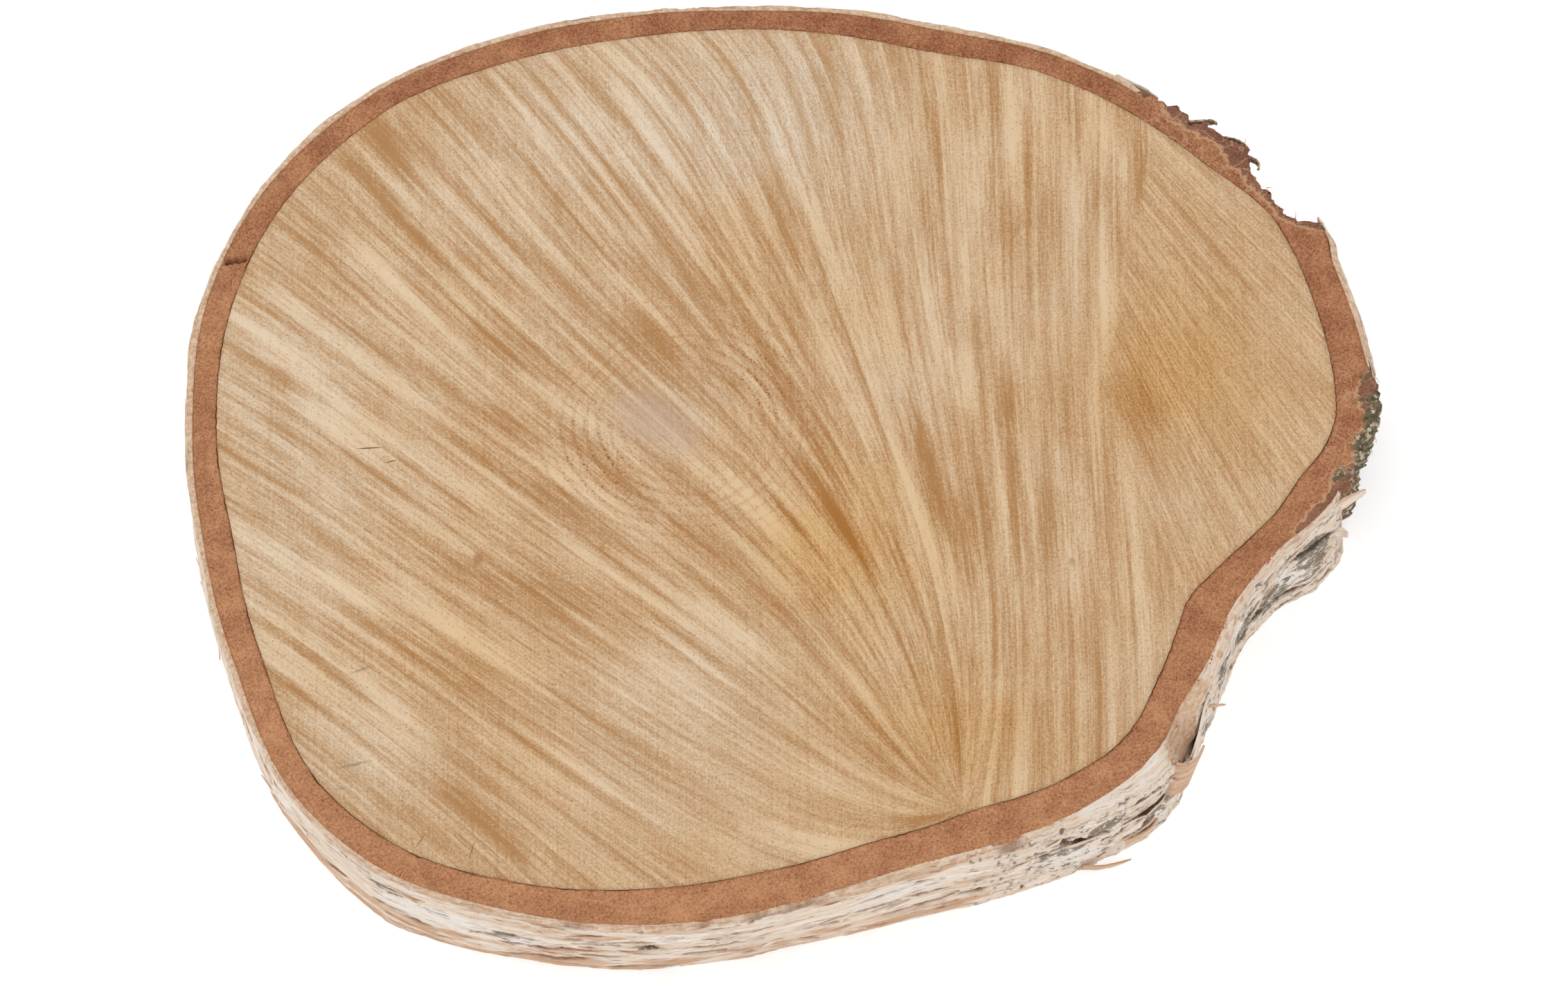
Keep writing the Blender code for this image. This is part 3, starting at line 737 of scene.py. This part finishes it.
def crack_at(bearing, run, z):
    """How deep a crack is here, in millimetres."""
    deepest = 0.0
    for first, z_first, last, z_last, half, depth in CRACKS:
        t = (bearing - first) / (last - first)
        if 0 < t < 1:
            line = z_first + (z_last - z_first) * t
            line += 0.9 * noise.noise((run / 7, first, 0)) + 0.3 * noise.noise((run / 1.3, first, 5))
            mouth = 1.6 * half * (0.75 + 1.3 * noise.noise((run / 3, first, 9))) * min(6 * t, 6 * (1 - t), 1)
            if abs(z - line) < mouth + 0.15:
                deepest = max(deepest, depth * min((mouth + 0.15 - abs(z - line)) / 0.3, 1))
    rough_side = share_of(bearing, *LOWER_RIGHT)
    random_mouth = noise.noise((run / (11 - 6 * rough_side), z / 0.62, 21)) - 0.47 + 0.12 * rough_side
    return max(deepest, min(max(random_mouth * 6, 0), 0.6))


def patch_share(patches, run, z):
    share = 0.0
    for at, height, half_length, half_height in patches:
        if abs(run - at) < 1.2 * half_length:
            share = max(share, 1.4 - ((run - at) / half_length) ** 2 - ((z - height) / half_height) ** 2)
    return min(max(share, 0), 1)


# Dry birch paper: smooth sheets with a dull waxy face, cream outside and tan where a sheet has come away. The
# eye gets long level streaks, thin brown cracks, and grey weathering on the lower right.
birch_paper, tree, shader = start_look("birch_paper")
FACE_MARKERS = ("around", "height", "tan", "grey", "white", "crack", "cut")
paper_around, paper_height, tan_share, grey_share, white_share, crack_share, cut_share = (
    add(tree, "ShaderNodeAttribute", output=2, attribute_name=name) for name in FACE_MARKERS
)


def along_paper(length, height, detail, roughness, seed):
    """Noise drawn out along the sheets, from a streak's length and height in millimetres."""
    level = add(tree, "ShaderNodeMath", {0: paper_around, 1: 1 / length}, operation="MULTIPLY")
    rise = add(tree, "ShaderNodeMath", {0: paper_height, 1: 1 / height}, operation="MULTIPLY")
    spot = add(tree, "ShaderNodeCombineXYZ", {0: level, 1: rise, 2: seed})
    return add(
        tree, "ShaderNodeTexNoise", {"Vector": spot, "Scale": 1.0, "Detail": detail, "Roughness": roughness}
    )


streak = along_paper(16, 0.9, 4.0, 0.65, 1.0)
streak = add(tree, "ShaderNodeMapRange", {0: streak, 1: 0.34, 2: 0.66})
cream = add(
    tree, "ShaderNodeMix", {0: streak, 6: linear("#F4E8DC"), 7: linear("#DFC4A8")}, output=2, data_type="RGBA"
)
bare = add(
    tree, "ShaderNodeMix", {0: streak, 6: linear("#E2C3A8"), 7: linear("#C0936F")}, output=2, data_type="RGBA"
)
patch = along_paper(15, 3.5, 3.0, 0.6, 5.0)
patch = add(tree, "ShaderNodeMath", {0: patch, 1: tan_share}, operation="ADD")
patch = add(tree, "ShaderNodeMapRange", {0: patch, 1: 0.82, 2: 0.95})
colour = add(tree, "ShaderNodeMix", {0: patch, 6: cream, 7: bare}, output=2, data_type="RGBA")
mottle = along_paper(5, 1.8, 4.0, 0.7, 17.0)
white = add(tree, "ShaderNodeMath", {0: mottle, 1: white_share}, operation="ADD")
white = add(tree, "ShaderNodeMapRange", {0: white, 1: 1.3, 2: 1.6, 3: 0.0, 4: 0.9})
colour = add(tree, "ShaderNodeMix", {0: white, 6: colour, 7: linear("#F2EAE2")}, output=2, data_type="RGBA")
hairline = along_paper(7, 0.5, 4.0, 0.7, 9.0)
hairline = add(tree, "ShaderNodeMapRange", {0: hairline, 1: 0.60, 2: 0.64, 3: 0.0, 4: 0.6})
colour = add(
    tree, "ShaderNodeMix", {0: hairline, 6: colour, 7: linear("#744E37")}, output=2, data_type="RGBA"
)
weather = along_paper(2.6, 1.3, 6.0, 0.8, 13.0)
weather = add(tree, "ShaderNodeMath", {0: grey_share, 1: 0.2, 2: weather}, operation="MULTIPLY_ADD")
weather = add(tree, "ShaderNodeMapRange", {0: weather, 1: 0.65, 2: 0.685, 3: 0.0, 4: 0.8})
colour = add(tree, "ShaderNodeMix", {0: weather, 6: colour, 7: linear("#62543F")}, output=2, data_type="RGBA")
# Cracks are painted darker the deeper they are: partly the cracks' own brown and grey, partly painted shade
# in them. The dark bruises on the top edge take the same colour.
brown_crack_and_shade, grey_crack_and_shade = linear("#7B4B33"), linear("#493D31")
crack_colour_and_shade = add(tree, "ShaderNodeMix", {0: grey_share, 6: brown_crack_and_shade, 7: grey_crack_and_shade}, output=2, data_type="RGBA")
colour = add(tree, "ShaderNodeMix", {0: crack_share, 6: colour, 7: crack_colour_and_shade}, output=2, data_type="RGBA")
crumbs = add(tree, "ShaderNodeTexCoord", output=3)
crumbs = add(tree, "ShaderNodeTexNoise", {"Vector": crumbs, "Scale": 1100.0, "Detail": 4.0, "Roughness": 0.7})
crumbs = add(tree, "ShaderNodeMapRange", {0: crumbs, 1: 0.35, 2: 0.65})
edge = add(
    tree, "ShaderNodeMix", {0: crumbs, 6: linear("#C0906A"), 7: linear("#EBD2B4")}, output=2, data_type="RGBA"
)
colour = add(tree, "ShaderNodeMix", {0: cut_share, 6: colour, 7: edge}, output=2, data_type="RGBA")
relief = add(tree, "ShaderNodeMath", {0: streak, 1: hairline}, operation="SUBTRACT")
relief = add(tree, "ShaderNodeMath", {0: relief, 1: weather}, operation="SUBTRACT")
bump = add(tree, "ShaderNodeBump", {"Strength": 0.6, "Distance": 0.0003, "Height": relief})
tree.links.new(colour, shader.inputs["Base Color"])
tree.links.new(bump, shader.inputs["Normal"])
shader.inputs["Roughness"].default_value = 0.6
shader.inputs["Specular IOR Level"].default_value = 0.35

grey_patches = [(arc(b), *sizes) for b, *sizes in GREY_PATCHES]
white_patches = [(arc(b), *sizes) for b, *sizes in WHITE_PATCHES]
for name, node, first, last in WRAPS:
    steps = round((last - first) / 360 * COLUMNS)
    points, marks = [], []
    for i in range(steps + 1):
        b = first + (last - first) * i / steps
        run = arc(b)
        thin = min(i, steps - i, 6) / 6
        skin = SKIN * (0.35 + 0.65 * thin)
        torn_top = 0.5 * abs(noise.noise((run / 1.7, 0, 4))) + 0.5 * abs(noise.noise((run / 8, 0, 2)))
        torn_top += pocket(b)
        smooth_face = share_of(b, 309, 321, 1.5)
        lower_right = share_of(b, *LOWER_RIGHT)
        tan = 0.19 + 0.12 * share_of(b, 240, 292, 8) - 0.12 * lower_right
        golden_edge = share_of(b, -36.5, -29, 3)
        bare_rim = share_of(b, 30, 205, 15)
        bruise = max(min(max(1.5 - abs(run - arc(at)) / half, 0), 1) for at, half in BRUISES)
        section = []
        for k in range(PAPER_ROWS):
            z = PAPER_FOOT + (PAPER_TOP - torn_top - PAPER_FOOT) * k / (PAPER_ROWS - 1)
            crack = crack_at(b, run, z) * thin
            grey = patch_share(grey_patches, run, z)
            lift, sheet = sheets(run, z)
            lift += 0.3 * lower_right * noise.noise((run / 4, z / 1.0, 30)) - 0.12 * grey
            lift += 0.25 * lower_right * noise.noise((run / 1.1, z / 0.6, 34))
            tint = 0.16 * noise.noise((sheet * 5.17, run / 50, 4))
            low_band = 0.12 * share_of(b, 185, 290, 15) + 0.16 * share_of(b, 190, 226, 10)
            tint += low_band * min(max((7.5 - z) / 4, 0), 1)
            r = wall_reach(b, z) + max(skin * (1 + lift) - crack, 0.15)
            grey = max(grey, 0.45 * lower_right)
            white = patch_share(white_patches, run, z)
            section.append((r, z, tan + tint, grey, white, min(crack / 0.55, 1), 0.0))
        outer, top = section[-1][:2]
        deep = edge_depth(b) * thin
        edge = wall_reach(b, top) - SUNK - deep
        for k in range(1, EDGE_ROWS + 1):
            t = k / EDGE_ROWS
            r = outer + (edge - outer) * t
            leaf = 0.22 * noise.noise((run / 7, (outer - r) / 0.45, 9)) * min(deep, 1)
            dip = (leaf + 0.14 * noise.noise((run / 0.8, k, 9))) * (1 - 0.85 * smooth_face)
            dip += 0.1 * smooth_face - 0.25 * bruise - 0.6 * (k == EDGE_ROWS)
            full = top + (PAPER_TOP + 0.04 - pocket(b) - top) * min(t * 1.6, 1)
            height = full + pocket(b) * t**0.7 + dip - 0.35 * smooth_face * (1 - t)
            cut = (0.3 + 0.45 * t + 0.35 * bare_rim) * (1 - smooth_face) * (1 - 0.5 * lower_right)
            cut = max(cut, 0.6 * golden_edge)
            frayed = 0.3 + 1.2 * max(noise.noise((run / 2.2, (outer - r) / 0.5, 15)), 0) - 0.2 * lower_right
            frayed = max(frayed * (1 - smooth_face), 0.5 * golden_edge)
            section.append((r, height, frayed, 0.2 * bruise, 0.85 * smooth_face, 0.75 * bruise, cut))
        for z in (top - 0.9, 0.6 * top, 0.3 * top, PAPER_FOOT):
            section.append((wall_reach(b, z) - SUNK, z, 0.6, 0, 0, 0, 0))
        end_share = max(1 - min(i, steps - i) / 14, 0)
        for r, z, *values in section:
            jagged = 1.7 * noise.noise((z / 2.3, first, last)) + 0.8 * noise.noise((z / 0.7, first, last))
            way = outward(b + jagged * end_share * (1 if i > steps / 2 else -1))
            points.append(tuple(MIDDLE + way * r + Vector((0, 0, z))))
            marks.append((run, z + max(section[PAPER_ROWS - 1][0] - r, 0), *values))
    rows = len(points) // (steps + 1)
    faces = faces_round(steps, rows, False)
    faces.append(tuple(reversed(range(rows))))
    faces.append(tuple(range(steps * rows, (steps + 1) * rows)))
    wrap = piece(name, points, faces, birch_paper)
    store(wrap, **dict(zip(FACE_MARKERS, np.array(marks).T)))
    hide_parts(node)

# The torn sheets.
# Where the paper has torn, single sheets stand off the wrap: a wide one rolled into a tube at the lower
# right, short flaps beside it, and thin ribbons all round. Each is dry paper, some of them tan.

SHEET_THICKNESS = 0.3
SHEET_ROWS = 10
SHEET_LOWEST, SHEET_HIGHEST = 0.1, 19.95
sheet_points, sheet_faces, sheet_marks = [], [], []


def smooth_line(corners):
    """A smooth line through corners given as (bearing, reach)."""
    spots = [(MIDDLE + outward(b) * r).xy for b, r in corners]
    smooth = []
    for i in range(len(spots) - 1):
        before, after = spots[max(i - 1, 0)], spots[min(i + 2, len(spots) - 1)]
        for k in range(4):
            t = k / 4
            near, far = spots[i], spots[i + 1]
            bend = (near * 2 + (far - before) * t + (before * 2 - near * 5 + far * 4 - after) * t * t
                    + (near * 3 - before - far * 3 + after) * t**3) / 2
            smooth.append(bend)
    smooth.append(spots[-1])
    return smooth


def add_sheet(spine, low, high, tan, thickness=SHEET_THICKNESS, foot=None, taper=0.15, grey=0.0):
    """Adds one closed sheet of paper, which hangs from its spine at the top edge down to its foot line."""
    smooth = smooth_line(spine)
    below = smooth_line(foot) if foot else smooth
    start = len(sheet_points)
    count = len(smooth)
    seed = start * 0.37
    for side in (1, -1):
        for i, spot in enumerate(smooth):
            tangent = (smooth[min(i + 1, count - 1)] - smooth[max(i - 1, 0)]).normalized()
            normal = Vector((tangent.y, -tangent.x))
            along = i / (count - 1)
            narrow = taper * (high - low) * along**2
            for j in range(SHEET_ROWS):
                t = j / (SHEET_ROWS - 1)
                ragged = noise.noise((seed + i * 0.6, 0 if t < 0.5 else 9, 0))
                ragged = 0.5 * ragged * min(high - low, 3) * 0.35
                z = (low + narrow) * (1 - t) + (high - narrow) * t + ragged * abs(2 * t - 1)
                end = 0.6 * noise.noise((seed, z / 0.9, 5)) * along
                hung = spot * t + below[i] * (1 - t)
                spot3 = (hung + tangent * end + normal * side * thickness / 2).to_3d()
                sheet_points.append((spot3.x, spot3.y, min(max(z, SHEET_LOWEST), SHEET_HIGHEST)))
                streaky = 8 * noise.noise((seed, 3, 3))
                sheet_marks.append((seed * 3 + i * 0.7, z + streaky, tan, grey, 0, 0, 0))

    def at(side, i, j):
        return start + side * count * SHEET_ROWS + i * SHEET_ROWS + j

    for i in range(count - 1):
        for j in range(SHEET_ROWS - 1):
            sheet_faces.append((at(0, i, j), at(0, i + 1, j), at(0, i + 1, j + 1), at(0, i, j + 1)))
            sheet_faces.append((at(1, i, j + 1), at(1, i + 1, j + 1), at(1, i + 1, j), at(1, i, j)))
        for j, flip in ((0, False), (SHEET_ROWS - 1, True)):
            rim_face = (at(0, i, j), at(1, i, j), at(1, i + 1, j), at(0, i + 1, j))
            sheet_faces.append(rim_face[::-1] if flip else rim_face)
    for i, flip in ((0, True), (count - 1, False)):
        for j in range(SHEET_ROWS - 1):
            end_face = (at(0, i, j), at(1, i, j), at(1, i, j + 1), at(0, i, j + 1))
            sheet_faces.append(end_face[::-1] if flip else end_face)


# The wide sheet rolls into a tube, and its foot leans away along the wall. A white sheet stands in its mouth.
TUBE = (
    (-34.6, 98.3), (-36.2, 98.6), (-37.4, 99.3), (-38.2, 100.4), (-38.6, 101.6), (-38.6, 102.9),
    (-38.2, 104.1), (-37.4, 105.0), (-36.2, 105.5), (-35.0, 105.0),
)
TUBE_FOOT = (
    (-37.6, 100.2), (-38.8, 100.9), (-39.8, 101.7), (-40.5, 102.6), (-40.6, 103.6), (-40.2, 104.7),
    (-39.6, 105.3), (-38.8, 105.6), (-38.0, 105.5), (-37.2, 104.8),
)
# Corners of the top edge, foot and top heights, how tan, thickness, how far it narrows, how grey.
SHEETS = (
    (((-29.0, 99.9), (-31.5, 101.0), (-34.0, 102.6), (-36.0, 103.6), (-37.1, 104.1)),
     8.0, 19.2, 0.0, 0.45, 0.45, 0),
    (((-28.9, 100.0), (-28.6, 101.2), (-28.1, 102.4), (-27.8, 103.3)), 11.6, 12.9, 0.75, 0.3, 0.5, 0),
    (((-47.4, 101.8), (-46.4, 103.2), (-44.7, 104.2), (-43.2, 104.4), (-41.9, 103.9)),
     1.2, 4.6, 0.65, 0.4, 0.3, 0),
    (((-52.5, 101.0), (-50.8, 103.3), (-49.0, 105.0), (-47.6, 106.0)), 0.8, 2.8, 0.7, 0.3, 0.5, 0),
    (((-41.2, 100.6), (-40.4, 102.4), (-39.7, 104.0), (-40.3, 104.9)), 14.2, 15.6, 0.2, 0.35, 0.4, 0),
    (((-4.4, 112.6), (-3.0, 114.8), (-2.0, 117.2), (-1.2, 119.7), (-0.6, 121.6)),
     13.4, 19.5, 0.35, 0.4, 0.36, 0),
    (((-5.4, 111.8), (-4.2, 114.8), (-3.6, 117.0), (-3.9, 118.6)), 5.5, 12.5, 0.15, 0.4, 0.4, 0.2),
    (((14.5, 126.9), (12.9, 127.0), (11.7, 127.2), (10.9, 126.6)), 9.0, 19.2, 0.25, 0.4, 0.3, 0.3),
    (((25.6, 129.6), (26.8, 129.7), (28.0, 130.2), (29.1, 130.7)), 12.5, 19.7, 0.25, 0.4, 0.45, 0.3),
    (((45.0, 120.6), (43.9, 123.4), (43.2, 125.6), (42.6, 126.6)), 16.5, 19.6, 0.9, 0.4, 0.4, 0.8),
    (((41.0, 124.4), (40.1, 126.2), (39.2, 127.2), (38.4, 127.4)), 16.0, 19.5, 0.9, 0.35, 0.4, 0.8),
    (((37.9, 125.9), (37.0, 126.8), (36.4, 126.6), (36.2, 125.9)), 17.0, 19.0, 0.9, 0.35, 0.3, 0.8),
    (((53.5, 120.6), (51.6, 121.4), (50.0, 122.4), (48.9, 123.1)), 11.0, 19.6, 0.2, 0.35, 0.4, 0),
)
add_sheet(TUBE, 10.5, 18.9, 0.6, thickness=0.5, foot=TUBE_FOOT, taper=0.0)
for corners, low, high, tan, thickness, taper, grey in SHEETS:
    add_sheet(corners, low, high, tan, thickness=thickness, taper=taper, grey=grey)

# Ribbons: narrow strips that have come loose at one end.
RIBBONS = 70
random.seed(11)
for _ in range(RIBBONS):
    b = random.choice((random.uniform(52, 190), random.uniform(190, 300), random.uniform(300, 354)))
    z = random.uniform(1.5, 17.5)
    length = random.uniform(3, 10)
    width = random.uniform(0.5, 1.6)
    stand = random.uniform(0.2, 0.8)
    way = random.choice((-1, 1))
    spine = []
    for k in range(7):
        t = k / 6
        turn = b + way * math.degrees(length * t / 110)
        off = SKIN - 0.35 + 0.5 * min(t * 4, 1) + stand * t**2
        spine.append((turn, wall_reach(turn, z) + off))
    low, high = max(z - width / 2, 0.3), min(z + width / 2, 19.2)
    add_sheet(spine, low, high, random.uniform(0.1, 0.6), thickness=0.2, taper=0.45)
torn_sheets = piece("torn_sheets", sheet_points, sheet_faces, birch_paper)
store(torn_sheets, **dict(zip(FACE_MARKERS, np.array(sheet_marks).T)))

# The loose fibres.
# Thin hairs of bast and paper that the saw has pulled out of the bark's outer edge, curling as they dried.

# The hairs that show best: bearing, height, length. The others are scattered over the wall and the lump.
FIBRES = (
    (142.4, 19.2, 3.4), (143.2, 18.6, 2.2), (141.5, 18.9, 1.6), (157.9, 18.5, 1.8), (-146.2, 14.0, 2.8),
    (-145.4, 13.2, 2.2), (-142.4, 9.0, 2.4), (-133, 4, 1.6), (-110, 1.5, 1.2), (62, 17.0, 1.5),
    (121.5, 19.0, 1.6), (133.0, 19.1, 2.0), (-66.5, 1.4, 2.6), (-65.8, 1.8, 1.8), (-58.4, 12.0, 2.2),
    (-31.0, 12.0, 1.8), (34.0, 18.6, 1.6), (43.5, 18.8, 2.0),
)
FIBRE_RADIUS = 0.1
FIBRE_SIDES = 5
FIBRE_STEPS = 9
WALL_FIBRES, LUMP_FIBRES = 60, 40
random.seed(23)
fibres = list(FIBRES)
for _ in range(WALL_FIBRES):
    around_wall = random.uniform(0, 360)
    fibres.append((around_wall, random.choice((random.uniform(1, 19), 19.0)), random.uniform(0.8, 1.9)))
for _ in range(LUMP_FIBRES):
    fibres.append((random.uniform(-2, 11), random.uniform(16, 19.6), random.uniform(0.8, 2.2)))
low_corner, high_corner = Vector(cad_box[0]) * 1000, Vector(cad_box[1]) * 1000
fibre_points, fibre_faces, fibre_marks = [], [], []
for b, z, length in fibres:
    root = MIDDLE + outward(b) * (wall_reach(b, z) + SKIN - 0.4) + Vector((0, 0, z))
    sideways = random.choice((-1, 1)) * random.uniform(0.5, 1.2)
    heading = outward(b + 40 * sideways) + Vector((0, 0, random.uniform(-0.35, 0.25)))
    bend = random.uniform(40, 120) * sideways / FIBRE_STEPS
    spots = [root]
    for k in range(FIBRE_STEPS):
        heading.rotate(Quaternion((0, 0, 1), math.radians(bend)))
        spots.append(spots[-1] + heading.normalized() * length / FIBRE_STEPS)
    room = min(min(*(spot - low_corner), *(high_corner - spot)) for spot in spots)
    if room < FIBRE_RADIUS:
        continue
    start = len(fibre_points)
    for k, spot in enumerate(spots):
        ahead = (spots[min(k + 1, FIBRE_STEPS)] - spots[max(k - 1, 0)]).normalized()
        side = ahead.cross(Vector((0, 0, 1))).normalized()
        up = side.cross(ahead)
        radius = FIBRE_RADIUS * (1.1 - k / FIBRE_STEPS)
        for n in range(FIBRE_SIDES):
            turn = 2 * math.pi * n / FIBRE_SIDES
            fibre_points.append(tuple(spot + (side * math.cos(turn) + up * math.sin(turn)) * radius))
            fibre_marks.append((b, z, 0.5, 0, 0, 0, 0.3))
    for k in range(FIBRE_STEPS):
        for n in range(FIBRE_SIDES):
            a, c = start + k * FIBRE_SIDES, start + (k + 1) * FIBRE_SIDES
            m = (n + 1) % FIBRE_SIDES
            fibre_faces.append((a + n, a + m, c + m, c + n))
    fibre_faces.append(tuple(start + n for n in reversed(range(FIBRE_SIDES))))
    fibre_faces.append(tuple(start + FIBRE_STEPS * FIBRE_SIDES + n for n in range(FIBRE_SIDES)))
loose_fibres = piece("loose_fibres", fibre_points, fibre_faces, birch_paper)
store(loose_fibres, **dict(zip(FACE_MARKERS, np.array(fibre_marks).T)))

# The camera, the light and the table.
# The slice lies on a white table under a broad even light, and the camera looks down at it from the front.

TABLE_HALF = 3.0
TABLE_TOP = -0.0001  # a tenth of a millimetre under the sawn face, so that the two don't share a plane
table_corners = [(x * TABLE_HALF, y * TABLE_HALF, TABLE_TOP) for x, y in ((-1, -1), (1, -1), (1, 1), (-1, 1))]
table_mesh = bpy.data.meshes.new("white_table")
table_mesh.from_pydata(table_corners, [], [(0, 1, 2, 3)])
table = bpy.data.objects.new("white_table", table_mesh)
bpy.context.scene.collection.objects.link(table)
matt_white_board, tree, shader = start_look("matt_white_board")
shader.inputs["Base Color"].default_value = linear("#DCDCDC")
shader.inputs["Roughness"].default_value = 0.9
shader.inputs["Emission Color"].default_value = linear("#FFFFFF")
shader.inputs["Emission Strength"].default_value = 0.5
table_mesh.materials.append(matt_white_board)

world = bpy.data.worlds.new("studio")
world.use_nodes = True
world.node_tree.nodes["Background"].inputs[0].default_value = (1, 1, 1, 1)
world.node_tree.nodes["Background"].inputs[1].default_value = 0.82
bpy.context.scene.world = world
SOFTBOXES = (("left_softbox", (-0.9, 0.5, 1.4), 1.2, 5.5), ("front_softbox", (0.6, -1.2, 1.2), 1.0, 2))
for name, spot, size, power in SOFTBOXES:
    lamp = bpy.data.lights.new(name, "AREA")
    lamp.size = size
    lamp.energy = power
    light = bpy.data.objects.new(name, lamp)
    light.location = spot
    light.rotation_euler = (-Vector(spot)).to_track_quat("-Z", "Y").to_euler()
    bpy.context.scene.collection.objects.link(light)

lens = bpy.data.cameras.new("camera")
lens.lens = 142.3
lens.sensor_width = 36
camera = bpy.data.objects.new("camera", lens)
target = Vector((0.165, -5.031, THICKNESS / 2)) * 0.001
CAMERA_TILT, CAMERA_DISTANCE = 64, 1.3  # degrees above the table, metres
tilt = math.radians(CAMERA_TILT)
camera.location = target + Vector((0, -math.cos(tilt), math.sin(tilt))) * CAMERA_DISTANCE
camera.rotation_euler = (math.pi / 2 - tilt, 0, 0)
bpy.context.scene.collection.objects.link(camera)
bpy.context.scene.camera = camera
bpy.context.scene.view_settings.view_transform = "Standard"
